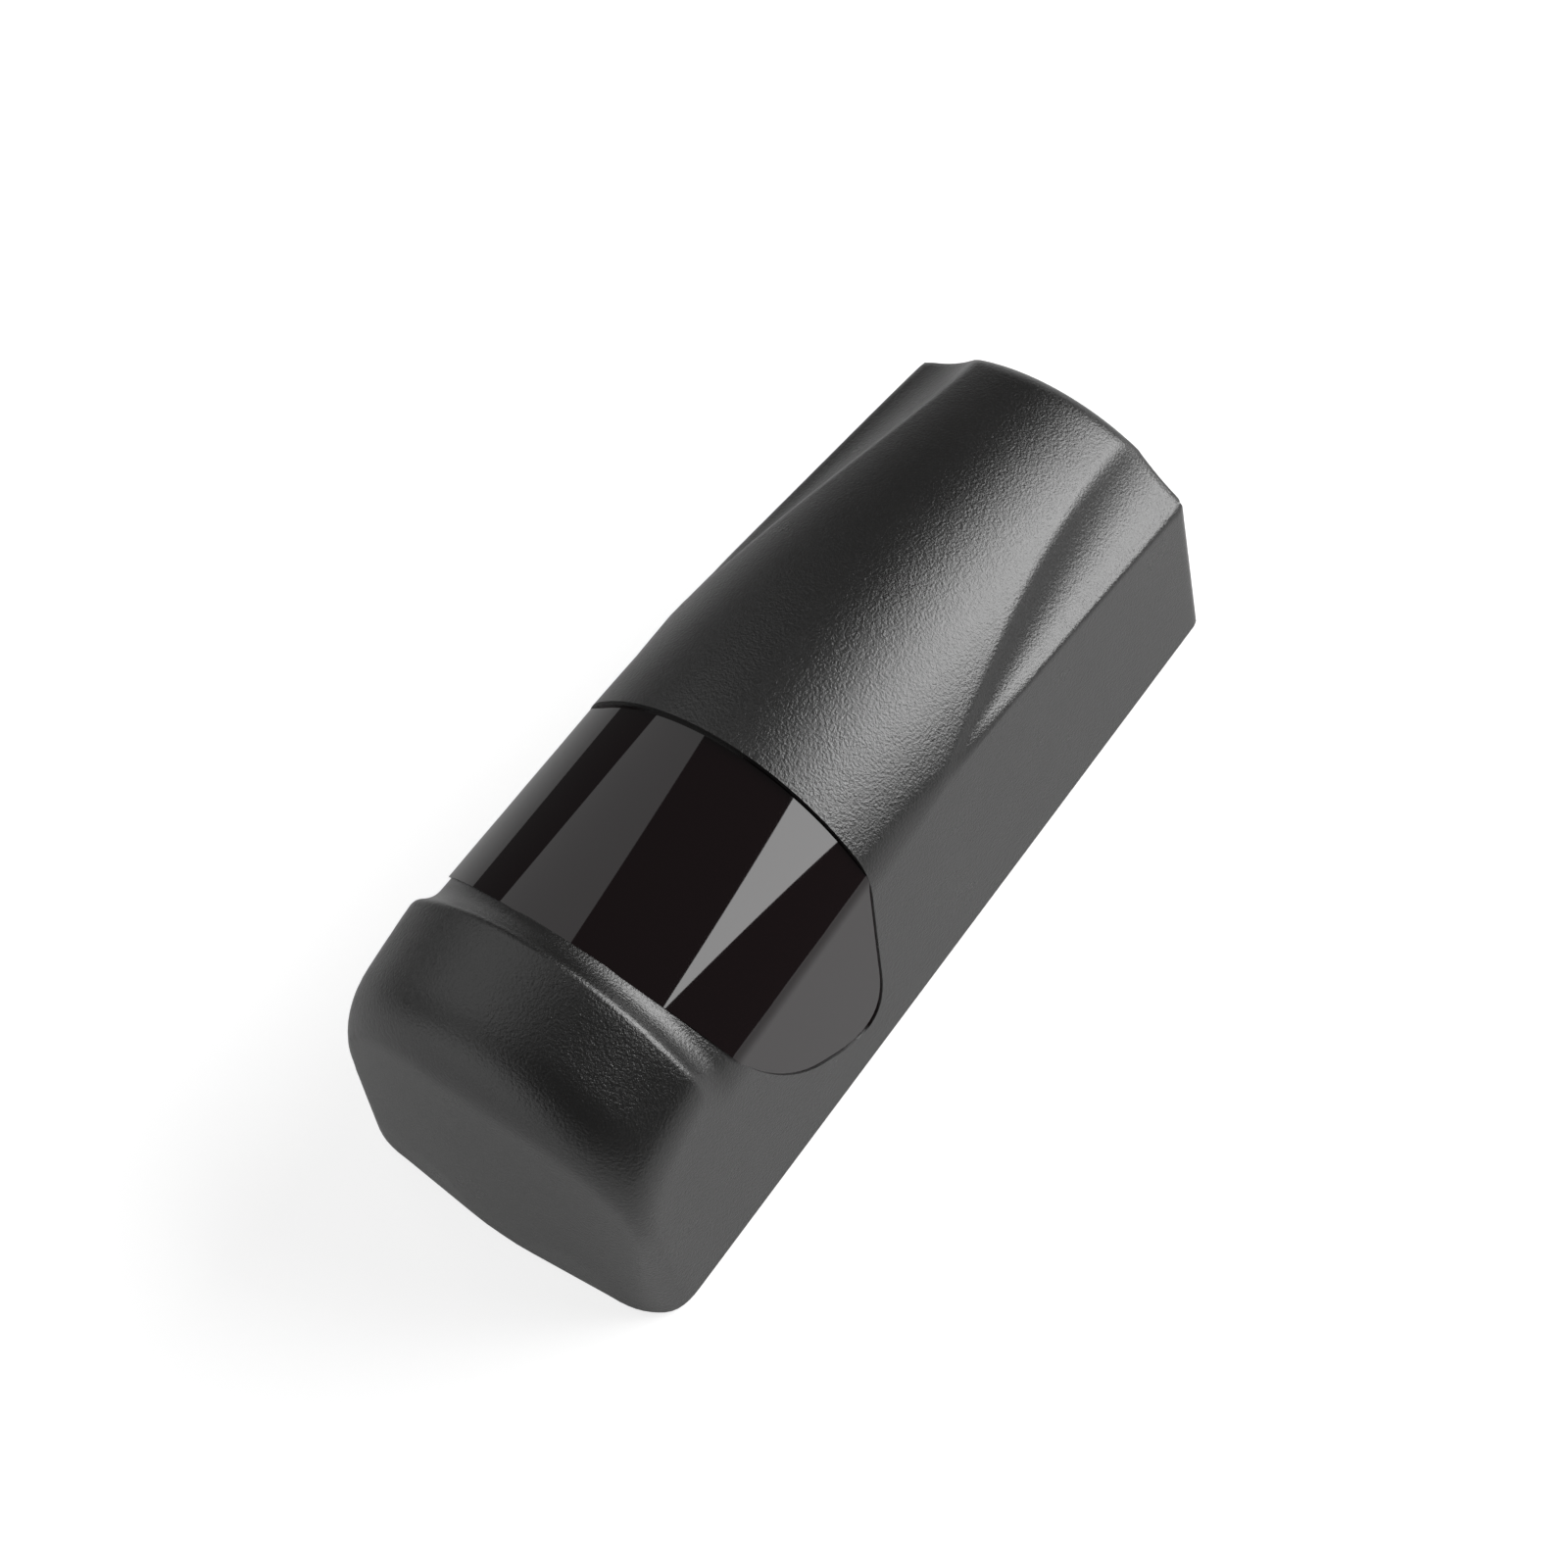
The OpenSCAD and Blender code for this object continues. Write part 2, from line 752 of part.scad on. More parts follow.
module cable_grommet() color("#151515") place() {
    neck_r = cable_hole_d / 2 - seat_gap;
    difference() {
        union() {
            peg(0, cable_z, neck_r, bay_d - grommet_flange_t, bay_top + grommet_flange_t);
            peg(0, cable_z, grommet_flange_r, bay_top, bay_top + grommet_flange_t);
            peg(0, cable_z, grommet_flange_r, bay_d - grommet_flange_t, bay_d);
        }
        peg(0, cable_z, cable_d / 2, -overrun, bay_top + reach);
    }
}

// A plate with rounded corners, its thickness along y
module rounded_plate(w, z0, z1, y0, y1, r) {
    h = z1 - z0;
    translate([0, y0, z0])
    rotate([90, 0, 0])
    mirror([0, 0, 1])
    linear_extrude(y1 - y0)
    rounded_rect(w, h, r);
}

module rounded_rect(w, h, r) {
    for (s = [-1, 1]) for (z = [r, h - r]) translate([s * (w / 2 - r), z]) circle(r = r, $fn = small_facets);
    translate([-w / 2, r]) square([w, h - 2 * r]);
    translate([-w / 2 + r, 0]) square([w - 2 * r, h]);
}

// A box on the board's front, centred on x and z
module on_board(x, z, size, lift = 0) {
    translate([x - size[0] / 2, board_front + lift, z - size[1] / 2])
    cube([size[0], size[2], size[1]]);
}

module main_board() color("#2e6b3a") place() {
    difference() {
        rounded_plate(board_w, board_z0, board_z1, board_d, board_front, board_corner_r);
        for (p = post_places) peg(p[0], p[1], board_hole_r, board_d - overrun, board_front + overrun);
    }
}

// A self-tapping screw with a slotted head seated at depth y
module slotted_screw(x, z, y, shank) {
    difference() {
        union() {
            peg(x, z, self_tap_r, y - shank, y + screw_head_h / 2);
            peg(x, z, screw_head_r, y, y + screw_head_h);
        }
        translate([x - screw_head_r, y + screw_head_h - screw_slot_h, z - screw_slot_w / 2])
        cube([2 * screw_head_r, screw_slot_h + overrun, screw_slot_w]);
    }
}

module board_screws() color("#c2c4c6") place() {
    for (p = post_places) slotted_screw(p[0], p[1], board_front, board_t + board_d - floor_top - overrun);
}

function terminal_x(i) = (i - (terminals - 1) / 2) * terminal_pitch;

module terminal_block() color("#2f7f4f") place() {
    difference() {
        union() {
            translate([-block_w / 2, board_front, block_z0]) cube([block_w, block_h - clamp_head_h, block_l]);
            translate([-block_w / 2, board_front, block_z0 + clamp_inset])
            cube([block_w, block_h, block_l - clamp_inset]);
        }
        for (i = [0 : terminals - 1]) {
            translate([terminal_x(i) - entry_w / 2, board_front + entry_lift, block_z0 - overrun])
            cube([entry_w, entry_h, entry_l + overrun]);
            peg(terminal_x(i), block_z0 + clamp_inset + clamp_l / 2 + clamp_wall, clamp_bore_r,
                board_front + entry_lift + entry_h / 2, board_front + block_h + overrun);
        }
    }
}

module terminal_clamps() color("#b9bcc0") place() {
    y = board_front + entry_lift + (entry_h - clamp_h) / 2;
    z = block_z0 + clamp_inset + clamp_wall;
    for (i = [0 : terminals - 1]) difference() {
        translate([terminal_x(i) - clamp_w / 2, y, z]) cube([clamp_w, clamp_h, clamp_l]);
        translate([terminal_x(i) - clamp_w / 2 + clamp_wall, y + clamp_wall, z - overrun])
        cube([clamp_w - 2 * clamp_wall, clamp_h - 2 * clamp_wall, clamp_l + 2 * overrun]);
        peg(terminal_x(i), z + clamp_l / 2, clamp_screw_r + seat_gap, y + clamp_h / 2, y + clamp_h + overrun);
    }
}

module terminal_screws() color("#d0d2d4") place() {
    z = block_z0 + clamp_inset + clamp_wall + clamp_l / 2;
    head = board_front + clamp_lift - clamp_head_h;
    for (i = [0 : terminals - 1]) difference() {
        union() {
            peg(terminal_x(i), z, clamp_screw_r, board_front + entry_lift + entry_h / 2, head + seat_gap);
            peg(terminal_x(i), z, clamp_head_r, head, head + clamp_head_h);
        }
        translate([terminal_x(i) - clamp_head_r, head + clamp_head_h - screw_slot_h, z - screw_slot_w / 2])
        cube([2 * clamp_head_r, screw_slot_h + overrun, screw_slot_w]);
    }
}

module relay() color("#2b57a4") place() {
    z0 = relay_z - relay_size[1] / 2;
    translate([relay_x, 0, 0]) {
        rounded_plate(relay_size[0], z0, z0 + relay_size[1], board_front + relay_foot,
            board_front + relay_size[2], relay_r);
        rounded_plate(relay_size[0] - 2 * relay_foot_w, z0 + relay_foot_w, z0 + relay_size[1] - relay_foot_w,
            board_front, board_front + relay_foot, relay_r);
    }
}

// An upright electrolytic can with its crimp groove and vented top
module can(x, z, r, h) {
    groove_z = can_groove_share * h;
    difference() {
        peg(x, z, r, board_front, board_front + h);
        difference() {
            peg(x, z, r + overrun, board_front + groove_z, board_front + groove_z + can_groove);
            peg(x, z, r - can_groove, board_front, board_front + h);
        }
        peg(x, z, r - 2 * can_groove, board_front + h - can_groove / 2, board_front + h + overrun);
    }
}

module supply_capacitor() color("#2a2f3f") place() can(can_x, can_z, can_r, can_h);

module filter_capacitor() color("#2a2f3f") place() can(small_can_x, small_can_z, small_can_r, small_can_h);

module surge_varistor() color("#2c6fb7") place() {
    y = board_front + leg_h + disc_r;
    translate([disc_x, y, disc_z])
    translate([0, 0, -disc_t / 2])
    cylinder(r = disc_r, h = disc_t, $fn = small_facets);
    for (s = [-1, 1]) on_board(disc_x + s * dip_pitch / 2, disc_z + s * leg_w, [leg_w, leg_w, leg_h + disc_r / 2]);
}

module bridge_rectifier() color("#262626") place() {
    on_board(dip_x, dip_z, dip_size, leg_w);
    for (sx = [-1, 1]) for (sz = [-1, 1])
        on_board(dip_x + sx * (dip_size[0] + leg_w) / 2, dip_z + sz * dip_pitch / 2, [2 * leg_w, leg_w, dip_size[2] / 2]);
}

module voltage_regulator() color("#202022") place() {
    on_board(reg_x, reg_z, reg_size);
    on_board(reg_x, reg_z + (reg_size[1] + reg_tab) / 2, [reg_size[0] - leg_w, reg_tab + leg_w, leg_w]);
    for (s = [-1, 1]) on_board(reg_x + s * reg_size[0] / 3, reg_z - reg_size[1] / 2, [leg_w, 2 * reg_tab, leg_w]);
}

module microcontroller() color("#1c1c1e") place() {
    on_board(chip_x, chip_z, chip_size, chip_leg_w / 2);
    for (i = [0 : chip_pins - 1]) for (s = [-1, 1])
        on_board(chip_x + s * (chip_size[0] + chip_leg_l) / 2, chip_z + (i - (chip_pins - 1) / 2) * chip_pitch,
            [2 * chip_leg_l, chip_leg_w, chip_leg_h]);
}

module crystal_plan(grow) {
    r = crystal_w / 2 + grow;
    half = (crystal_l - crystal_w) / 2;
    for (s = [-1, 1]) translate([0, s * half]) circle(r = r, $fn = small_facets);
    translate([-r, -half]) square([2 * r, 2 * half]);
}

module crystal() color("#c9ccd0") place() {
    translate([crystal_x, board_front, crystal_z])
    rotate([90, 0, 0])
    mirror([0, 0, 1]) {
        linear_extrude(crystal_h) crystal_plan(0);
        linear_extrude(crystal_flange) crystal_plan(crystal_flange);
    }
}

// A round-nosed part on a flange: radius, height, flange radius and flange height
module dome(r, h, flange_r, flange_h) {
    cylinder(r = r, h = h - r, $fn = small_facets);
    translate([0, 0, h - r]) rotate_extrude($fn = small_facets) intersection() {
        circle(r = r, $fn = small_facets);
        square([r, r]);
    }
    cylinder(r = flange_r, h = flange_h, $fn = small_facets);
}

module status_led() color("#c33a2e") place() {
    translate([led_x, board_front, led_z])
    rotate([-90, 0, 0])
    dome(led_r, led_h, led_flange_r, led_flange_h);
}

module jumper_pins() color("#d8b35a") place() {
    for (i = [-1 : 1]) on_board(pins_x, pins_z + i * pin_pitch, [pin_w, pin_w, pin_h]);
    on_board(pins_x, pins_z, [pin_pitch, 3 * pin_pitch, pin_base_h]);
}

module jumper_cap() color("#b5352b") place() {
    lift = pin_base_h + seat_gap;
    z = pins_z + pin_pitch / 2;
    difference() {
        on_board(pins_x, z, [pin_pitch, 2 * pin_pitch, cap_block_h], lift);
        for (s = [-1, 1]) on_board(pins_x, z + s * pin_pitch / 2,
            [pin_w + 2 * seat_gap, pin_w + 2 * seat_gap, cap_block_h - pin_w + overrun], lift - overrun);
    }
}

module smd_parts() color("#8d8478") place() {
    for (i = [0 : smd_count - 1]) {
        on_board(smd_low[0] + i * smd_pitch, smd_low[1], smd_size);
        on_board(smd_high[0] + (i - 1) * smd_pitch / 2, smd_high[1] - i * smd_size[0], [smd_size[1], smd_size[0] / 2, smd_size[2]]);
    }
}

module board_socket() color("#e8e4d8") place() {
    difference() {
        on_board(socket_x, socket_z, socket_size);
        on_board(socket_x, socket_z, [socket_size[0] - 2 * socket_wall, socket_size[1] - 2 * socket_wall,
            socket_size[2]], socket_floor);
    }
    for (i = [0 : socket_pins - 1])
        on_board(socket_x, socket_z + (i - (socket_pins - 1) / 2) * socket_pitch, [pin_w, pin_w, socket_size[2] - socket_wall]);
}

module swivel_bracket() color("#34363a") place() {
    top = shelf_z + shelf_t;
    difference() {
        union() {
            translate([-upright_w / 2, upright_d, shelf_z]) cube([upright_w, upright_t, upright_h]);
            translate([-upright_w / 2, upright_d, shelf_z]) cube([upright_w, pan_d - shelf_nose_r - upright_d, shelf_t]);
            translate([-shelf_nose_r, upright_d, shelf_z]) cube([2 * shelf_nose_r, pan_d - upright_d, shelf_t]);
            translate([0, pan_d, shelf_z]) cylinder(r = shelf_nose_r, h = shelf_t, $fn = arc_facets);
            for (s = [-1, 1]) translate([s * (upright_w - bracket_rib_t) / 2 - bracket_rib_t / 2, upright_d, top - seat_gap])
                cube([bracket_rib_t, bracket_rib_l, bracket_rib_h + seat_gap]);
        }
        translate([0, pan_d, shelf_z - overrun])
        cylinder(r = pan_pin_r + seat_gap, h = shelf_t + 2 * overrun, $fn = small_facets);
        for (s = [-1, 1]) peg(s * bracket_screw_x, bracket_screw_z, board_hole_r, upright_d - overrun,
            upright_d + upright_t + overrun);
    }
}

module bracket_screws() color("#c2c4c6") place() {
    for (s = [-1, 1]) slotted_screw(s * bracket_screw_x, bracket_screw_z, upright_d + upright_t,
        upright_t + upright_d - floor_top - overrun);
}

module pan_screw() color("#b9bcc0") place() {
    head = yoke_floor_z + yoke_floor_t + washer_t + 2 * seat_gap;
    translate([0, pan_d, 0]) difference() {
        union() {
            translate([0, 0, head - pan_thread_l]) cylinder(r = pan_pin_r, h = pan_thread_l, $fn = small_facets);
            translate([0, 0, head]) cylinder(r = pan_head_r, h = pan_head_h, $fn = small_facets);
        }
        translate([-pan_head_r, -screw_slot_w / 2, head + pan_head_h - screw_slot_h])
        cube([2 * pan_head_r, screw_slot_w, screw_slot_h + overrun]);
    }
}

module spring_washer() color("#d7d9db") place() {
    z = yoke_floor_z + yoke_floor_t + seat_gap;
    translate([0, pan_d, z]) difference() {
        cylinder(r = washer_r, h = washer_t, $fn = small_facets);
        translate([0, 0, -overrun]) cylinder(r = pan_pin_r + pin_gap, h = washer_t + 2 * overrun, $fn = small_facets);
    }
}

// Moves a shape from the lens head's own axes to its place, with its front along y
module at_head() {
    translate([0, pan_d, head_z])
    children();
}

// A cylinder along the lens axis, between two distances from the pan axis
module along_lens(r, y0, y1) {
    translate([0, y0, 0])
    rotate([-90, 0, 0])
    cylinder(r = r, h = y1 - y0, $fn = arc_facets);
}

module yoke() color("#3a3d42") place() {
    difference() {
        union() {
            translate([0, pan_d, yoke_floor_z]) intersection() {
                cylinder(r = yoke_r, h = yoke_floor_t, $fn = arc_facets);
                translate([-yoke_r, -cheek_r, -overrun]) cube([2 * yoke_r, 2 * cheek_r, 2 * yoke_floor_t]);
            }
            for (s = [-1, 1]) translate([s * (cheek_x + cheek_t / 2), pan_d, 0]) {
                translate([-cheek_t / 2, 0, head_z])
                rotate([0, 90, 0])
                cylinder(r = cheek_r, h = cheek_t, $fn = small_facets);
                translate([-cheek_t / 2, -cheek_r, yoke_floor_z]) cube([cheek_t, 2 * cheek_r, head_z - yoke_floor_z]);
            }
        }
        translate([0, pan_d, yoke_floor_z - overrun])
        cylinder(r = pan_pin_r + pin_gap, h = yoke_floor_t + 2 * overrun, $fn = small_facets);
        translate([-reach / 2, pan_d, head_z])
        rotate([0, 90, 0])
        cylinder(r = tilt_pin_r + pin_gap, h = reach, $fn = small_facets);
    }
}

module lens_tube() color("#1f2023") place() at_head() {
    pin_end = cheek_x + cheek_t + seat_gap;
    difference() {
        union() {
            along_lens(tube_r, -tube_back, tube_front);
            for (s = [-1, 1]) rotate([0, s * 90, 0])
                translate([0, 0, bore_r + pin_root])
                cylinder(r = tilt_pin_r, h = pin_end - bore_r - pin_root, $fn = small_facets);
        }
        along_lens(bore_r, -tube_back - overrun, tube_front + overrun);
        along_lens(lens_r + seat_gap, tube_front - lens_seat, tube_front + overrun);
    }
}

module lens() color("#c9d6dd") place() at_head() {
    edge = tube_front - lens_seat + seat_gap;
    dome_r = bow_radius(lens_r, lens_bow);
    translate([0, edge, 0])
    rotate([-90, 0, 0])
    rotate_extrude($fn = arc_facets)
    intersection() {
        square([lens_r, lens_t + lens_rise]);
        translate([0, lens_t + lens_rise - dome_r]) circle(r = dome_r, $fn = arc_facets);
    }
}

module lens_ring() color("#26272a") place() at_head() {
    difference() {
        along_lens(tube_r, tube_front + seat_gap, tube_front + seat_gap + ring_t);
        along_lens(ring_bore_r, tube_front - overrun, tube_front + ring_t + overrun);
    }
}

module detector_board() color("#2e6b3a") place() at_head() {
    along_lens(bore_r - seat_gap, sensor_board_y - sensor_board_t, sensor_board_y);
}

module photodiode() color("#1a1216") place() at_head() {
    translate([0, sensor_board_y, 0])
    rotate([-90, 0, 0])
    dome(diode_r, diode_h, diode_flange_r, diode_flange_h);
}

module head_socket() color("#e8e4d8") place() at_head() {
    size = head_socket_size;
    y = sensor_board_y - sensor_board_t - size[2];
    difference() {
        translate([-size[0] / 2, y, -size[1] / 2]) cube([size[0], size[2], size[1]]);
        translate([-size[0] / 2 + socket_wall, y - overrun, -size[1] / 2 + socket_wall])
        cube([size[0] - 2 * socket_wall, size[2] - socket_wall + overrun, size[1] - 2 * socket_wall]);
    }
}

module tube_cap() color("#26272a") place() at_head() {
    difference() {
        along_lens(bore_r - seat_gap, -tube_back, -tube_back + cap_t);
        translate([-cap_slot_w / 2, -tube_back - overrun, -cap_slot_h / 2])
        cube([cap_slot_w, cap_t + 2 * overrun, cap_slot_h]);
    }
}

front_cover();
window();
base();
cover_seal();
cable_grommet();
main_board();
board_screws();
terminal_block();
terminal_clamps();
terminal_screws();
relay();
supply_capacitor();
filter_capacitor();
surge_varistor();
bridge_rectifier();
voltage_regulator();
microcontroller();
crystal();
status_led();
jumper_pins();
jumper_cap();
smd_parts();
board_socket();
swivel_bracket();
bracket_screws();
pan_screw();
spring_washer();
yoke();
lens_tube();
lens();
lens_ring();
detector_board();
photodiode();
head_socket();
tube_cap();
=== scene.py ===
"""Looks of the wall-mounted gate photocell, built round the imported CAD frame.

The case is re-skinned with soft moulded edges, the window is polished, and every
other part gets small edge rounding and its own procedural finish.
"""

import json
import logging
import math
from dataclasses import dataclass, fields
from enum import Enum
from typing import Callable, Dict, Iterable, List, Optional, Sequence, Tuple, Union

import bmesh
import bpy
import numpy as np
from mathutils import Matrix, Vector

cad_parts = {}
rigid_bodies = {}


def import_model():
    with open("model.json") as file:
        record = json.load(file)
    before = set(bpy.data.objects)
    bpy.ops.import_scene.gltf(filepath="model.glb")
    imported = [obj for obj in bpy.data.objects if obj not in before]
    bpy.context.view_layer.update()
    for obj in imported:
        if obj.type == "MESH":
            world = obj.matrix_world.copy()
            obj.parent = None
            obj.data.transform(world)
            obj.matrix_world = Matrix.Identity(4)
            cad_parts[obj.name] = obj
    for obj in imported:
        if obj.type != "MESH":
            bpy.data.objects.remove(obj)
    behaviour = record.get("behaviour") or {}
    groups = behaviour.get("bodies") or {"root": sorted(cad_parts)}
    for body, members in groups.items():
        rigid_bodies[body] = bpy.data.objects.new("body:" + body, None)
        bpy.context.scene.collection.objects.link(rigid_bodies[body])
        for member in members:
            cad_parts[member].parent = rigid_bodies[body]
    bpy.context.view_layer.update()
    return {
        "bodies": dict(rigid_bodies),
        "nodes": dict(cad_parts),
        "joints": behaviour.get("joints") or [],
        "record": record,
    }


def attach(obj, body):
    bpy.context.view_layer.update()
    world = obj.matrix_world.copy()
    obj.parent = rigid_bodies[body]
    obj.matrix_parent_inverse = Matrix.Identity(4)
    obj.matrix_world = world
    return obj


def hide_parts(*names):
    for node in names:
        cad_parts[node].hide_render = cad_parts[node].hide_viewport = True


logging.basicConfig(level=logging.INFO, format="%(message)s")
LOG = logging.getLogger("photocell")
MM = 0.001
Array = np.ndarray
Field = Callable[[Array, float], Array]


# Sizes


@dataclass(frozen=True)
class CaseSizes:
    """Case sizes in millimetres: x across, d out from the wall, z up from the side's bottom corner."""

    height: float = 110.0
    bottom_w: float = 40.6
    top_w: float = 45.4
    top_bow: float = 2.3
    bottom_bow: float = 1.9
    side_draft: float = 3.7
    end_draft: float = 2.0
    bottom_draft: float = 3.4
    wall: float = 1.6
    top_wall: float = 2.6
    crown_d: float = 42.5
    crown_z: float = 64.0
    hood_r: float = 24.2
    crown_r: float = 257.0
    hood_edge_r: float = 4.0
    scoop_h: float = 49.6
    scoop_x: float = 10.5
    scoop_angle: float = 19.0
    seam_z: float = 63.3
    lip_z: float = 93.4
    window_step: float = 0.75
    window_lean: float = 0.75
    window_side_step: float = 0.2
    window_gap: float = 0.15
    flange_w: float = 1.5
    flange_t: float = 0.7
    seat_gap: float = 0.05
    cap_d: float = 43.4
    cap_r: float = 26.2
    cap_fall: float = 1.4
    cap_edge_r: float = 9.0
    cap_extra_draft: float = 3.0
    lip_h: float = 2.2
    lip_sweep: float = 1.7
    notch_w: float = 8.2
    notch_d: float = 4.2
    screw_z: float = 11.0


@dataclass(frozen=True)
class EdgeBlends:
    """Widths of the blends along the moulded edges, in millimetres."""

    crease: float = 0.75
    crease_gain: float = 0.95
    crease_gain_span: float = 7.0
    side_bottom: float = 1.2
    scoop: float = 0.6
    lip: float = 0.7
    cap_side: float = 1.6
    side_top: float = 1.4
    window: float = 0.5


@dataclass(frozen=True)
class SkinGrid:
    """How the skins are divided: counts of rows and columns, heights in millimetres, shares and powers."""

    near_wall: int = 5
    past_tip: int = 14
    side: int = 44
    front: int = 50
    end_rows: int = 8
    corner_rows: int = 14
    lower_rows: int = 110
    under_lip_rows: int = 16
    lip_rows: int = 20
    cap_rows: int = 8
    window_rows: int = 44
    tip_span: float = 6.5
    tip_crowding: float = 1.7
    tip_hair: float = 0.004
    crease_z: float = 75.0
    flank_z: float = 72.0
    lower_hub: float = 10.0
    upper_hub: float = 99.0
    lower_corner_z: float = 12.0
    upper_corner_z: float = 97.0
    lower_bend_share: float = 0.12
    upper_bend_share: float = 0.16
    rim_share: float = 0.3
    lower_crowding: float = 1.12
    end_crowding: float = 1.1
    under_lip: float = 1.05
    over_lip: float = 0.6
    window_crowding: float = 1.8
    window_crowded_share: float = 0.35


# Case form


def smooth_max(a: Array, b: Array, k: Union[float, Array]) -> Array:
    """Joins two fields as an intersection with a soft edge.

    Args:
        a: First field, negative inside.
        b: Second field, negative inside.
        k: Width of the blend in field units.

    Returns:
        The blended field.
    """
    h = np.maximum(k - np.abs(a - b), 0.0) / k
    return np.maximum(a, b) + h * h * k / 4


class CaseForm:
    """The case as smooth fields.

    Each field takes places (x, d, z) in millimetres and an inset, which moves its
    surface inwards, and returns a value that is negative inside and positive outside.
    """

    CREASE_STEPS = 8

    def __init__(self, sizes: CaseSizes, blends: EdgeBlends) -> None:
        """Works out the placed values once.

        Args:
            sizes: The case's sizes.
            blends: The widths of its edge blends.
        """
        self.s = s = sizes
        self.blends = blends
        self.taper = (s.top_w - s.bottom_w) / 2 / s.height
        self.tan_side = math.tan(math.radians(s.side_draft))
        self.tan_top = math.tan(math.radians(s.end_draft))
        self.tan_bottom = math.tan(math.radians(s.bottom_draft))
        self.top_r = self._bow(s.top_w / 2, s.top_bow)
        self.bottom_r = self._bow(s.bottom_w / 2, s.bottom_bow)
        self.slope = math.tan(math.asin(s.crown_z / s.crown_r))
        self.run = math.hypot(1, self.slope)
        self.end_axis = self.crown_at(0.0) - s.hood_r
        reach = self.crown_at(0.0) - s.hood_edge_r
        self.edge_z = s.hood_edge_r - s.bottom_bow + self.tan_bottom * reach
        self.edge_x = s.hood_r + self.slope * self.edge_z - s.hood_edge_r * self.run
        self.cap_axis = s.cap_d - s.cap_r
        self.lip_r = s.cap_r - s.cap_d + s.crown_d - s.window_step - s.window_lean
        self.lip_top = s.lip_z + s.lip_h
        reach = s.cap_d - s.cap_fall - s.cap_edge_r
        self.cap_edge_z = s.height + s.top_bow - self.tan_top * reach - s.cap_edge_r
        self.cap_slope = s.cap_fall / (self.cap_edge_z - self.lip_top)
        self.cap_run = math.hypot(1, self.cap_slope)
        self.cap_edge_x = s.cap_r - s.cap_fall - s.cap_edge_r * self.cap_run
        self.cap_fill = math.tan(math.radians(s.end_draft + s.cap_extra_draft))
        self._place_scoop()

    @staticmethod
    def _bow(half: float, bow: float) -> float:
        """Radius of an arc with a half width and a rise."""
        return (half * half + bow * bow) / (2 * bow)

    def crown_at(self, z: float) -> float:
        """Depth of the hood's crown at height z."""
        s = self.s
        return s.crown_d - s.crown_r + math.sqrt(s.crown_r**2 - (z - s.crown_z) ** 2)

    def hood_at(self, x: float, z: float) -> float:
        """Depth of the hood at a place across the case."""
        return self.crown_at(z) - self.s.hood_r + math.sqrt(self.s.hood_r**2 - x * x)

    def side_at(self, d: float, z: float) -> float:
        """Half width of the case at a depth and height."""
        return self.s.bottom_w / 2 + self.taper * z - self.tan_side * d

    def top_inset(self, inset: float) -> float:
        """Inset of the top end face, whose wall is thicker than the others."""
        return inset * self.s.top_wall / self.s.wall

    def crease_at(self, z: float) -> Vector:
        """Finds where the hood meets the side.

        Args:
            z: Height.

        Returns:
            The place on the +x side.
        """
        d = 0.0
        for _ in range(self.CREASE_STEPS):
            d = self.hood_at(self.side_at(d, z), z)
        return Vector((self.side_at(d, z), d, z))

    def _place_scoop(self) -> None:
        """Finds the scoop cone's tip and axis from its two edges and its angle."""
        s = self.s
        tip = self.crease_at(s.scoop_h)
        crest = (Vector((s.scoop_x, self.hood_at(s.scoop_x, 0.0), 0.0)) - tip).normalized()
        edge = (self.crease_at(0.0) - tip).normalized()
        middle = (crest + edge).normalized()
        outward = edge.cross(crest).normalized()
        lean = math.acos(math.cos(math.radians(s.scoop_angle)) / middle.dot(crest))
        self.scoop_axis = np.array(math.cos(lean) * middle + math.sin(lean) * outward)
        self.scoop_tip = np.array(tip)

    def side(self, p: Array, inset: float) -> Array:
        """Field of the nearer side face."""
        half = self.s.bottom_w / 2 + self.taper * p[..., 2] - self.tan_side * p[..., 1]
        return (np.abs(p[..., 0]) - half + inset) / math.sqrt(1 + self.taper**2 + self.tan_side**2)

    def top(self, p: Array, inset: float) -> Array:
        """Field of the bowed top end face."""
        bow = self.top_r - np.sqrt(np.maximum(self.top_r**2 - p[..., 0] ** 2, 0))
        return p[..., 2] - (self.s.height + self.s.top_bow - self.tan_top * p[..., 1] - bow) + inset

    def bottom(self, p: Array, inset: float) -> Array:
        """Field of the bowed bottom end face."""
        bow = self.bottom_r - np.sqrt(np.maximum(self.bottom_r**2 - p[..., 0] ** 2, 0))
        return -self.s.bottom_bow + self.tan_bottom * p[..., 1] + bow - p[..., 2] + inset

    def hood(self, p: Array, inset: float) -> Array:
        """Field of the hood, a slice of a torus with a rounded bottom edge.

        Args:
            p: Places.
            inset: Move inwards.

        Returns:
            The field's values.
        """
        s = self.s
        rho = np.hypot(p[..., 1] - (s.crown_d - s.crown_r), p[..., 2] - s.crown_z)
        out = np.maximum(rho - (s.crown_r - s.hood_r), 0.0)
        ring = np.hypot(out, p[..., 0]) - s.hood_r + inset
        r = np.hypot(p[..., 0], np.maximum(p[..., 1] - self.end_axis, 0.0))
        qx = r - self.edge_x
        qz = p[..., 2] - self.edge_z
        cone = (qx - self.slope * qz) / self.run
        corner = (qx > 0) & ((self.slope * qx + qz) < 0)
        end = np.where(corner, np.hypot(qx, qz), cone) - s.hood_edge_r + inset
        return np.maximum(ring, end)

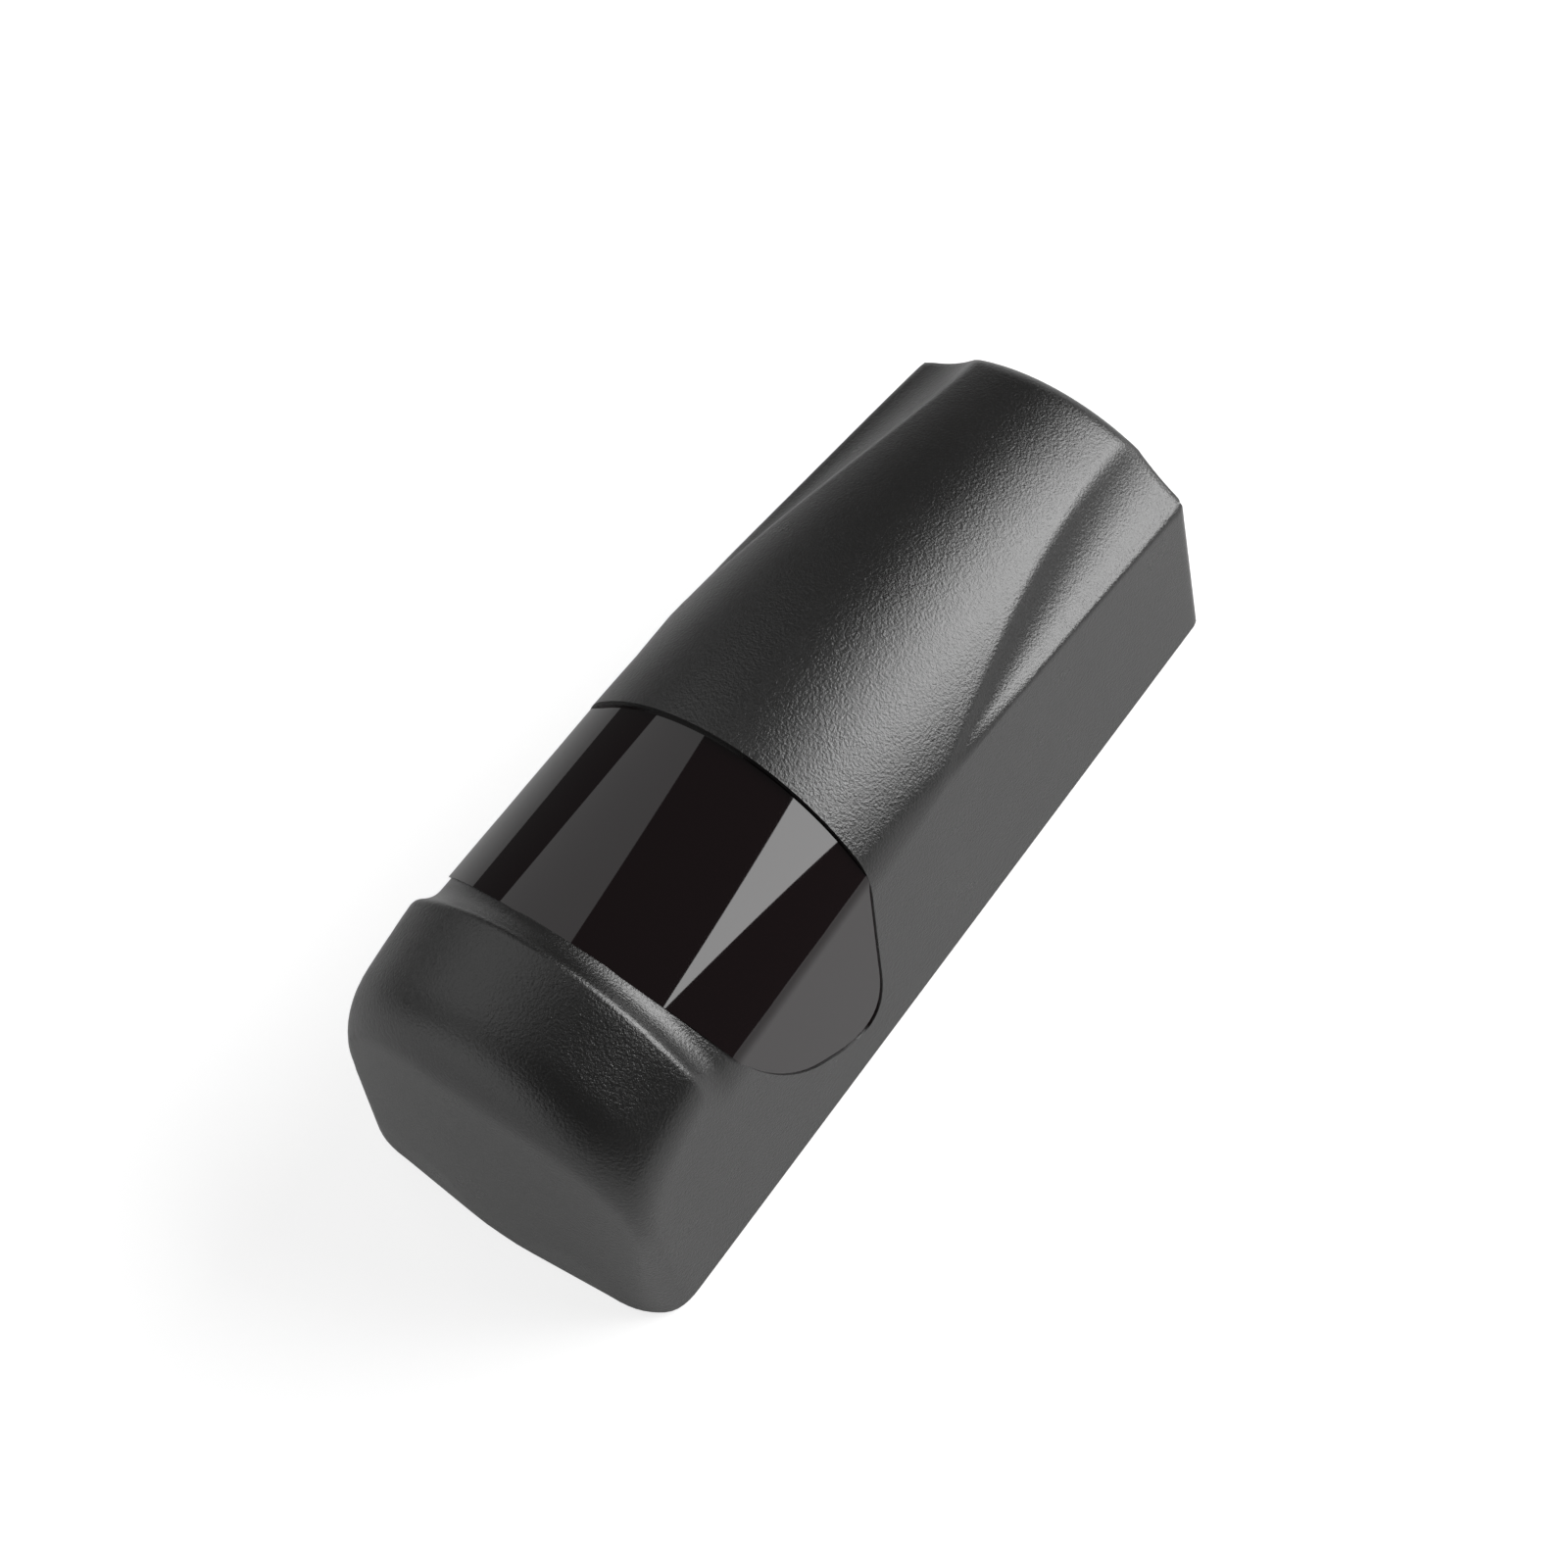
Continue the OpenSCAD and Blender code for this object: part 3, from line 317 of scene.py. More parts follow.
    def scoop(self, p: Array, inset: float) -> Array:
        """Field of the cones that hollow the lower corners, positive inside a cone.

        Args:
            p: Places.
            inset: Move inwards.

        Returns:
            The field's values.
        """
        q = np.stack([np.abs(p[..., 0]), p[..., 1], p[..., 2]], -1) - self.scoop_tip
        along = q @ self.scoop_axis
        radial = np.linalg.norm(q - along[..., None] * self.scoop_axis, axis=-1)
        angle = math.radians(self.s.scoop_angle)
        return -(radial * math.cos(angle) - along * math.sin(angle)) + inset

    def lower(self, p: Array, inset: float) -> Array:
        """Field of the case below the window.

        Args:
            p: Places.
            inset: Move inwards.

        Returns:
            The field's values.
        """
        soft = self.blends
        side = self.side(p, inset)
        above_scoop = np.clip((p[..., 2] - self.s.scoop_h) / soft.crease_gain_span, 0, 1)
        crease = smooth_max(self.hood(p, inset), side, soft.crease + soft.crease_gain * above_scoop)
        foot = smooth_max(side, self.bottom(p, inset), soft.side_bottom)
        return smooth_max(np.maximum(crease, foot), self.scoop(p, inset), soft.scoop)

    def cap(self, p: Array, inset: float) -> Array:
        """Field of the cap's front with the hollow ramp of its lip and its rounded top edge.

        Args:
            p: Places.
            inset: Move inwards.

        Returns:
            The field's values.
        """
        s = self.s
        r = np.hypot(p[..., 0], np.maximum(p[..., 1] - self.cap_axis, 0.0))
        climb = np.clip((p[..., 2] - s.lip_z + s.lip_sweep) / (s.lip_h + s.lip_sweep), 0.0, None)
        steep = 2 * (s.cap_r - self.lip_r) / (s.lip_h + s.lip_sweep) * climb
        lip = (r - self.lip_r - (s.cap_r - self.lip_r) * climb**2) / np.hypot(1, steep) + inset
        over = p[..., 2] - self.cap_fill * np.maximum(self.cap_edge_x - r, 0.0) - self.cap_edge_z
        edge = np.hypot(np.maximum(r - self.cap_edge_x, 0.0), np.maximum(over, 0.0)) - s.cap_edge_r + inset
        fall = self.cap_slope * np.maximum(p[..., 2] - self.lip_top, 0.0)
        front = (r - s.cap_r + fall) / self.cap_run + inset
        turned = p[..., 2] - self.cap_edge_z > self.cap_slope * (r - self.cap_edge_x)
        on_edge = np.where(r > self.cap_edge_x, turned, over > 0)
        return smooth_max(np.where(on_edge, edge, front), lip, self.blends.lip)

    def upper(self, p: Array, inset: float) -> Array:
        """Field of the case above the window.

        Args:
            p: Places.
            inset: Move inwards.

        Returns:
            The field's values.
        """
        side = self.side(p, inset)
        top = self.top(p, self.top_inset(inset))
        front = smooth_max(self.cap(p, inset), side, self.blends.cap_side)
        head = smooth_max(side, top, self.blends.side_top)
        return np.maximum(np.maximum(front, head), top)

    def window(self, p: Array, inset: float) -> Array:
        """Field of the window, a leaning cylinder between the two sides.

        Args:
            p: Places.
            inset: Move inwards.

        Returns:
            The field's values.
        """
        s = self.s
        lean = s.window_lean * (p[..., 2] - s.seam_z) / (s.lip_z - s.seam_z)
        axis = s.crown_d - s.window_step - s.hood_r - lean
        front = np.hypot(p[..., 0], np.maximum(p[..., 1] - axis, 0.0)) - s.hood_r + inset
        return smooth_max(front, self.side(p, s.window_side_step + inset), self.blends.window)


CAST_REACH = 75.0
CAST_HALVINGS = 34


def cast(form: Field, inset: float, origin: Array, aim: Array) -> Array:
    """Finds where rays from inside leave a field.

    Args:
        form: The field.
        inset: Move inwards.
        origin: Start points, inside.
        aim: Points that give the rays' directions.

    Returns:
        The points on the surface.
    """
    way = aim - origin
    way = way / np.linalg.norm(way, axis=-1, keepdims=True)
    low = np.zeros(way.shape[:-1])
    high = np.full(way.shape[:-1], CAST_REACH)
    for _ in range(CAST_HALVINGS):
        mid = (low + high) / 2
        outside = form(origin + mid[..., None] * way, inset) > 0
        high = np.where(outside, mid, high)
        low = np.where(outside, low, mid)
    return origin + ((low + high) / 2)[..., None] * way


def cast_round(form: Field, inset: float, turns: Array, z: Array) -> Array:
    """Finds a field's surface at angles round the case.

    Args:
        form: The field.
        inset: Move inwards.
        turns: Angles from the wall's +x direction, in radians.
        z: Heights.

    Returns:
        One place for each angle.
    """
    origin = np.stack([0 * turns, 0 * turns, z], -1)
    return cast(form, inset, origin, origin + np.stack([np.cos(turns), np.sin(turns), 0 * turns], -1))


# Window line


class WindowLine:
    """The window's outline seen from the side: a lower and an upper branch that meet at the tip.

    The points are shares: of the crown's depth, and of the height from the seam to the lip.
    """

    SEAM_FRONT_SHARES = (1.3, -0.01)
    LOW_SHARES = ((0.341, 0.088), (0.083, 0.1), (0.127, 0.262), (0.244, 0.471))
    HIGH_SHARES = ((0.244, 0.471), (0.307, 0.605), (0.476, 0.768), (0.715, 0.879))
    BROW_FRONT_SHARES = (1.3, 1.08)
    CURVE_POINTS = 80

    def __init__(self, sizes: CaseSizes, outset: float = 0.0) -> None:
        """Draws the line.

        Args:
            sizes: The case's sizes.
            outset: How far the line is moved outwards from the opening's edge.
        """
        s = sizes
        low = self._curve(self.LOW_SHARES)
        high = self._curve(self.HIGH_SHARES)
        line = np.vstack([[self.SEAM_FRONT_SHARES], low, high[1:], [self.BROW_FRONT_SHARES]])
        line = line * [s.crown_d, s.lip_z - s.seam_z] + [0, s.seam_z]
        along = np.gradient(line, axis=0)
        along /= np.linalg.norm(along, axis=1, keepdims=True)
        line = line - outset * np.stack([-along[:, 1], along[:, 0]], 1)
        tip = int(np.argmin(line[:, 0]))
        self.tip_d, self.tip_z = line[tip]
        self._low = line[: tip + 1][::-1]
        self._high = line[tip:]

    def _curve(self, handles: Sequence[Tuple[float, float]]) -> Array:
        """Points of a cubic curve.

        Args:
            handles: Its four control points.

        Returns:
            The points, from the first handle to the last.
        """
        t = np.linspace(0, 1, self.CURVE_POINTS)[:, None]
        a, b, c, d = (np.array(handle) for handle in handles)
        return (1 - t) ** 3 * a + 3 * (1 - t) ** 2 * t * b + 3 * (1 - t) * t * t * c + t**3 * d

    def low(self, d: Array) -> Array:
        """Height of the lower branch at a depth."""
        return np.interp(d, self._low[:, 0], self._low[:, 1])

    def high(self, d: Array) -> Array:
        """Height of the upper branch at a depth."""
        return np.interp(d, self._high[:, 0], self._high[:, 1])


# Skins


def smooth_by_angle(piece: bpy.types.Object, degrees: float) -> None:
    """Shades a piece smooth.

    Args:
        piece: The piece.
        degrees: Edges sharper than this stay hard.
    """
    for polygon in piece.data.polygons:
        polygon.use_smooth = True
    piece.data.set_sharp_from_angle(angle=math.radians(degrees))


def link_piece(name: str, bm: bmesh.types.BMesh) -> bpy.types.Object:
    """Turns a bmesh into an object of the scene and frees it.

    Args:
        name: The object's and the mesh's name.
        bm: The shape.

    Returns:
        The new object.
    """
    mesh = bpy.data.meshes.new(name)
    bm.to_mesh(mesh)
    bm.free()
    piece = bpy.data.objects.new(name, mesh)
    bpy.context.scene.collection.objects.link(piece)
    return piece


class Patchwork:
    """Grid patches moved to computed places and merged to one closed mesh."""

    MERGE = 2e-6
    SLIVER = 1e-6
    SMOOTH_DEGREES = 38

    def __init__(self, name: str) -> None:
        """Starts an empty skin with a name."""
        self.name = name
        self.bm = bmesh.new()

    @staticmethod
    def _cell(vert: bmesh.types.BMVert, rows: int, cols: int) -> Tuple[int, int]:
        """Row and column of a vertex of a grid one unit wide."""
        return round((vert.co.y + 0.5) * (rows - 1)), round((vert.co.x + 0.5) * (cols - 1))

    def add(self, points: Array, keep: Optional[Array] = None) -> None:
        """Adds one patch.

        Args:
            points: Places in millimetres in design axes, rows by columns by 3.
            keep: Which cells stay, rows-1 by columns-1; all if missing.
        """
        rows, cols = points.shape[:2]
        patch = bmesh.new()
        bmesh.ops.create_grid(patch, x_segments=cols - 1, y_segments=rows - 1, size=0.5)
        if keep is not None:
            gone = []
            for face in patch.faces:
                spots = [self._cell(v, rows, cols) for v in face.verts]
                if not keep[min(row for row, _ in spots), min(col for _, col in spots)]:
                    gone.append(face)
            bmesh.ops.delete(patch, geom=gone, context="FACES")
        for v in patch.verts:
            x, d, z = points[self._cell(v, rows, cols)]
            v.co = Vector((x, -d, z - CaseSizes.screw_z)) * MM
        mesh = bpy.data.meshes.new("patch")
        patch.to_mesh(mesh)
        patch.free()
        self.bm.from_mesh(mesh)
        bpy.data.meshes.remove(mesh)

    def close(self) -> bpy.types.Object:
        """Merges the patches, turns the faces outwards and makes the piece.

        Returns:
            The new object.
        """
        bmesh.ops.remove_doubles(self.bm, verts=self.bm.verts, dist=self.MERGE)
        bmesh.ops.dissolve_degenerate(self.bm, edges=self.bm.edges, dist=self.SLIVER)
        bmesh.ops.holes_fill(self.bm, edges=[e for e in self.bm.edges if e.is_boundary], sides=0)
        bmesh.ops.recalc_face_normals(self.bm, faces=self.bm.faces)
        open_edges = sum(not e.is_manifold for e in self.bm.edges)
        piece = link_piece(self.name, self.bm)
        smooth_by_angle(piece, self.SMOOTH_DEGREES)
        LOG.info("%s: %d open edges", self.name, open_edges)
        return piece


class CoverSkin:
    """The cover's closed skin: an outer and an inner surface joined at rim, notch and window."""

    LEVEL_STEPS = 12
    CORNER_STEPS = 6
    NUDGE = 1e-9

    def __init__(self, form: CaseForm, grid: SkinGrid) -> None:
        """Keeps the form and the grid and places the columns.

        Args:
            form: The case's form.
            grid: How finely it is divided.
        """
        self.form = form
        self.grid = grid
        self.s = form.s
        self.line = WindowLine(form.s)
        self.turns = self._turns()
        column = np.arange(len(self.turns))
        self.beyond_tip = np.minimum(column, column[::-1]) <= grid.near_wall

    def _turns(self) -> Array:
        """Places the columns: crowded behind the window's tip, and one exactly on it.

        Returns:
            Their angles round the case, from one wall edge to the other.
        """
        g, f = self.grid, self.form
        tip = self.line.tip_d
        near = np.linspace(0, tip, g.near_wall, endpoint=False)
        past = tip + g.tip_span * np.linspace(0, 1, g.past_tip, endpoint=False) ** g.tip_crowding
        crease = f.crease_at(g.crease_z)
        side = np.linspace(tip + g.tip_span, crease[1], g.side, endpoint=False)
        depth = np.concatenate([near, past, side])
        flank = np.arctan2(depth, [f.side_at(d, g.flank_z) for d in depth])
        across = np.linspace(crease[0], 0, g.front)
        arc = np.arctan2([f.hood_at(x, g.crease_z) for x in across], across)
        half = np.concatenate([flank, arc])
        half[g.near_wall] = math.atan2(tip, f.side_at(tip, self.line.tip_z))
        return np.concatenate([half, math.pi - half[-2::-1]])

    def _level(self, body: Field, inset: float, lower: bool) -> Array:
        """The row along the window's line; the two branches stay a hair apart behind the tip.

        Args:
            body: The surface.
            inset: Move inwards.
            lower: Whether the row follows the lower branch.

        Returns:
            One place for each column.
        """
        height = self.line.low if lower else self.line.high
        z = np.full(len(self.turns), self.line.tip_z)
        for _ in range(self.LEVEL_STEPS):
            p = cast_round(body, inset, self.turns, z)
            z = 0.5 * z + 0.5 * height(p[:, 1])
        p[:, 2] = height(p[:, 1])
        p[:, 2] += -self.grid.tip_hair if lower else self.grid.tip_hair
        p[self.beyond_tip, 2] = self.line.tip_z
        return p

    def _corner(self, body: Field, inset: float, lower: bool) -> Array:
        """The sharp corner between the sides and an end face.

        Args:
            body: The surface.
            inset: Move inwards.
            lower: Whether the end face is the bottom one.

        Returns:
            One place for each column.
        """
        f, g = self.form, self.grid
        z = np.full(len(self.turns), g.lower_corner_z if lower else g.upper_corner_z)
        p = cast_round(body, inset, self.turns, z)
        for _ in range(self.CORNER_STEPS):
            p[:, 2] += f.bottom(p, inset) if lower else -f.top(p, f.top_inset(inset))
        return p

    def _steps(self, edge: Array, start: Array, lower: bool) -> List[Array]:
        """Shares at which the rows lie between the window's line and the bend to the end face.

        Args:
            edge: The row on the window's line.
            start: The row where the bend starts.
            lower: Whether the rows are below the window.

        Returns:
            One array for each row, with a share for each column.
        """
        g = self.grid
        if lower:
            shares = 1 - np.linspace(1, 0, g.lower_rows + 1)[:-1] ** g.lower_crowding
            return [np.full(len(edge), share) for share in shares]
        span = start[:, 2] - edge[:, 2]
        under = (self.s.lip_z - g.under_lip - edge[:, 2]) / span
        over = (self.form.lip_top + g.over_lip - edge[:, 2]) / span
        steps = [under * t for t in np.linspace(0, 1, g.under_lip_rows, endpoint=False)]
        steps += [under + (over - under) * t for t in np.linspace(0, 1, g.lip_rows, endpoint=False)]
        steps += [over + (1 - over) * t for t in np.linspace(0, 1, g.cap_rows, endpoint=False)]
        return steps

    def _rows(self, inset: float, lower: bool, pole: Array) -> Array:
        """Rows from the window's line over the corner to the middle of an end face.

        Args:
            inset: Move inwards.
            lower: Whether the rows are below the window.
            pole: The last row's places.

        Returns:
            Rows by columns by 3.
        """
        g = self.grid
        body = self.form.lower if lower else self.form.upper
        edge = self._level(body, inset, lower)
        corner = self._corner(body, inset, lower)
        start = edge + (corner - edge) * (1 - (g.lower_bend_share if lower else g.upper_bend_share))
        rim = corner + (pole - corner) * g.rim_share
        rows = [edge + (start - edge) * step[:, None] for step in self._steps(edge, start, lower)]
        for t in np.linspace(0, 1, g.corner_rows):
            rows.append((1 - t) ** 2 * start + 2 * t * (1 - t) * corner + t * t * rim)
        for t in np.linspace(0, 1, g.end_rows + 1)[1:] ** g.end_crowding:
            rows.append(rim + (pole - rim) * t)
        aim = np.array(rows)
        up = np.maximum(aim[..., 2], g.lower_hub) if lower else np.minimum(aim[..., 2], g.upper_hub)
        points = cast(body, inset, np.stack([0 * up, 0 * up, up], -1), aim + self.NUDGE)
        points[0] = edge
        return points

    def _notch_row(self, inset: float) -> Array:
        """The notch's edge on the bottom end face.

        Args:
            inset: How far the face is moved inwards.

        Returns:
            One place for each column.
        """
        half, depth = self.s.notch_w / 2, self.s.notch_d
        last = len(self.turns) - 1
        knee = round(depth / (2 * depth + 2 * half) * last)
        column = np.arange(last + 1, dtype=float)
        x = half - 2 * half * np.clip((column - knee) / (last - 2 * knee), 0, 1)
        d = np.clip(np.minimum(column, last - column) / knee, 0, 1) * depth
        p = np.stack([x, d, 0 * x], -1)
        p[:, 2] += self.form.bottom(p, inset)
        return p

    def build(self) -> bpy.types.Object:
        """Makes the piece.

        Returns:
            The cover's skin.
        """
        s = self.s
        work = Patchwork("cover_shell")
        shells: Dict[Tuple[bool, bool], Array] = {}
        for inner in (False, True):
            inset = s.wall if inner else 0.0
            crown = s.height + s.top_bow - (s.top_wall if inner else 0)
            shells[inner, True] = self._rows(inset, True, self._notch_row(inset))
            shells[inner, False] = self._rows(inset, False, np.zeros((len(self.turns), 3)) + [0, 0, crown])
        for points in shells.values():
            work.add(points)
        cell = np.arange(len(self.turns) - 1)
        beside_window = np.minimum(cell, cell[::-1]) >= self.grid.near_wall
        for lower in (True, False):
            outer, inner_shell = shells[False, lower], shells[True, lower]
            work.add(np.stack([outer[0], inner_shell[0]]), keep=beside_window[None, :])
            for column in (0, -1):
                work.add(np.stack([outer[:, column], inner_shell[:, column]], 1))
        work.add(np.stack([shells[False, True][-1], shells[True, True][-1]]))
        return work.close()


class WindowSkin:
    """The window: a polished shell with a flange behind the opening's edge."""

    ROW_STEPS = 14

    def __init__(self, form: CaseForm, grid: SkinGrid) -> None:
        """Keeps the form and the grid."""
        self.form = form
        self.grid = grid

    def _row(self, outset: float, inset: float, share: float) -> Array:
        """One row.

        Args:
            outset: How far the outline is moved outwards.
            inset: Move inwards.
            share: 0 on the lower branch, 1 on the upper one.

        Returns:
            Its places.
        """
        f, g, s = self.form, self.grid, self.form.s
        line = WindowLine(s, outset)
        tip = math.atan2(line.tip_d, f.side_at(line.tip_d, line.tip_z) - s.window_side_step - inset)
        u = np.linspace(0, 1, g.past_tip + g.side + g.front)
        crowded = g.window_crowded_share * u**g.window_crowding + (1 - g.window_crowded_share) * u
        half = tip + (math.pi / 2 - tip) * crowded
        turns = np.concatenate([half, math.pi - half[-2::-1]])
        z = np.full(len(turns), (s.seam_z + s.lip_z) / 2)
        for _ in range(self.ROW_STEPS):
            p = cast_round(f.window, inset, turns, z)
            want = line.low(p[:, 1]) * (1 - share) + line.high(p[:, 1]) * share
            z = 0.5 * z + 0.5 * want
        p[:, 2] = want
        p[[0, -1], 1:] = (line.tip_d, line.tip_z)
        return p

    def build(self) -> bpy.types.Object:
        """Makes the piece.

        Returns:
            The window's skin.
        """
        s = self.form.s
        count = self.grid.window_rows
        seat = s.wall - s.window_side_step + s.seat_gap
        back = seat + s.flange_t
        ledge = ((-s.window_gap, seat), (s.flange_w, seat), (s.flange_w, back))
        rows = [self._row(-s.window_gap, 0.0, share) for share in np.linspace(0, 1, count)]
        rows += [self._row(*place, 1.0) for place in ledge]
        rows += [self._row(-s.flange_w, back, share) for share in np.linspace(1, 0, count // 2)]
        rows += [self._row(*place, 0.0) for place in ledge[::-1]]
        rows.append(rows[0].copy())
        work = Patchwork("window_shell")
        work.add(np.array(rows))
        return work.close()


# Materials


@dataclass(frozen=True)
class Look:
    """One finish: its slot's name, colour, gloss and grain."""

    slot: str
    color: Tuple[float, float, float]
    roughness: float
    metallic: float = 0.0
    specular: float = 0.5
    coat: float = 0.0
    grain_mm: float = 0.0
    grain: float = 0.0
    mottle: float = 0.0
    transmission: float = 0.0
    ior: float = 1.5


class Finish(Enum):
    """The procedural finishes."""

    COVER = Look(
        "cover_plastic", (0.0075, 0.0073, 0.007), 0.285, specular=0.85, grain_mm=0.33, grain=0.8, mottle=0.03
    )
    WINDOW = Look("window_plastic", (0.005, 0.0022, 0.0026), 0.02, ior=1.6)
    BASE = Look("base_plastic", (0.013, 0.013, 0.0135), 0.38, grain_mm=0.12, grain=0.15, mottle=0.08)
    FOAM = Look("seal_foam", (0.02, 0.02, 0.021), 0.85, grain_mm=0.25, grain=0.6)
    GROMMET = Look("grommet_rubber", (0.012, 0.012, 0.012), 0.55, grain_mm=0.2, grain=0.1)
    BOARD = Look("board_green", (0.012, 0.085, 0.03), 0.28, coat=0.3, grain_mm=0.5, grain=0.03, mottle=0.15)
    ZINC = Look("screw_zinc", (0.62, 0.63, 0.65), 0.3, metallic=1.0, grain_mm=0.2, grain=0.05)
    TERMINAL = Look("terminal_green", (0.02, 0.16, 0.06), 0.4, grain_mm=0.15, grain=0.12)
    NICKEL = Look("clamp_nickel", (0.6, 0.6, 0.6), 0.28, metallic=1.0, grain_mm=0.2, grain=0.05)
    RELAY = Look("relay_blue", (0.012, 0.06, 0.26), 0.32, grain_mm=0.15, grain=0.1)
    SLEEVE = Look("can_sleeve", (0.012, 0.016, 0.04), 0.3, grain_mm=0.3, grain=0.03)
    VARISTOR = Look("varistor_blue", (0.015, 0.12, 0.36), 0.35, grain_mm=0.25, grain=0.15)
    CHIP = Look("chip_black", (0.014, 0.014, 0.015), 0.5, grain_mm=0.08, grain=0.2)
    CAN = Look("can_steel", (0.68, 0.69, 0.7), 0.22, metallic=1.0, grain_mm=0.3, grain=0.04)
    LED = Look("led_red", (0.5, 0.02, 0.012), 0.12, coat=0.4)
    PIN = Look("pin_brass", (0.76, 0.55, 0.2), 0.25, metallic=1.0)
    JUMPER = Look("jumper_red", (0.4, 0.02, 0.015), 0.38, grain_mm=0.15, grain=0.1)
    SMD = Look("smd_tan", (0.2, 0.165, 0.12), 0.5, grain_mm=0.1, grain=0.1)
    SOCKET = Look("socket_cream", (0.72, 0.68, 0.56), 0.42, grain_mm=0.15, grain=0.1)
    BRACKET = Look("bracket_grey", (0.03, 0.032, 0.036), 0.45, grain_mm=0.2, grain=0.25)
    SPRING = Look("washer_steel", (0.66, 0.67, 0.68), 0.25, metallic=1.0)
    TUBE = Look("tube_black", (0.01, 0.01, 0.011), 0.5, grain_mm=0.15, grain=0.2)
    LENS = Look("lens_clear", (0.9, 0.94, 0.95), 0.02, transmission=1.0, ior=1.49)
    DIODE = Look("diode_dark", (0.01, 0.003, 0.005), 0.08, coat=0.3)


def set_inputs(node: bpy.types.Node, values: Dict[str, Union[float, Sequence[float]]]) -> None:
    """Sets a node's inputs, one value for each name."""
    for name, value in values.items():
        node.inputs[name].default_value = value


class Paint:
    """Makes and keeps one procedural material for each finish."""

    CLOUD_MM = 9
    CLOUD_DETAIL = 5
    CLOUD_LOW = 0.3
    CLOUD_HIGH = 0.7
    GRAIN_DETAIL = 3
    GRAIN_ROUGHNESS = 0.6
    GRAIN_DEPTH_SHARE = 0.35

    def __init__(self) -> None:
        """Starts with no materials."""
        self._made: Dict[Finish, bpy.types.Material] = {}

    def get(self, finish: Finish) -> bpy.types.Material:
        """Gives a finish's material, made on first use.

        Args:
            finish: The finish.

        Returns:
            The material.
        """
        if finish not in self._made:
            self._made[finish] = self._make(finish.value)
        return self._made[finish]

    def _make(self, look: Look) -> bpy.types.Material:
        """Makes a material.

        Args:
            look: Its name, colour, gloss and grain.

        Returns:
            The material.
        """
        mat = bpy.data.materials.new(look.slot)
        mat.use_nodes = True
        nodes, links = mat.node_tree.nodes, mat.node_tree.links
        shader = nodes["Principled BSDF"]
        set_inputs(shader, {"Base Color": (*look.color, 1), "Roughness": look.roughness})
        set_inputs(shader, {"Metallic": look.metallic, "Specular IOR Level": look.specular, "IOR": look.ior})
        set_inputs(shader, {"Coat Weight": look.coat, "Transmission Weight": look.transmission})
        if not look.grain and not look.mottle:
            return mat
        coords = nodes.new("ShaderNodeTexCoord")
        if look.mottle:
            cloud = nodes.new("ShaderNodeTexNoise")
            set_inputs(cloud, {"Scale": 1.0 / (self.CLOUD_MM * MM), "Detail": self.CLOUD_DETAIL})
            links.new(coords.outputs["Object"], cloud.inputs["Vector"])
            ramp = nodes.new("ShaderNodeMapRange")
            set_inputs(ramp, {"From Min": self.CLOUD_LOW, "From Max": self.CLOUD_HIGH})
            spread = look.mottle / 2
            set_inputs(ramp, {"To Min": look.roughness - spread, "To Max": look.roughness + spread})
            links.new(cloud.outputs["Fac"], ramp.inputs["Value"])
            links.new(ramp.outputs["Result"], shader.inputs["Roughness"])
        if look.grain:
            grain = nodes.new("ShaderNodeTexNoise")
            set_inputs(grain, {"Scale": 1.0 / (look.grain_mm * MM), "Detail": self.GRAIN_DETAIL})
            set_inputs(grain, {"Roughness": self.GRAIN_ROUGHNESS})
            links.new(coords.outputs["Object"], grain.inputs["Vector"])
            bump = nodes.new("ShaderNodeBump")
            depth = look.grain_mm * MM * self.GRAIN_DEPTH_SHARE
            set_inputs(bump, {"Strength": look.grain, "Distance": depth})
            links.new(grain.outputs["Fac"], bump.inputs["Height"])
            links.new(bump.outputs["Normal"], shader.inputs["Normal"])
        return mat


# Dressing


@dataclass(frozen=True)
class Dressing:
    """How one CAD node is dressed: its finish, and the width and segments of its edge rounding."""

    finish: Finish
    bevel_mm: float
    segments: int


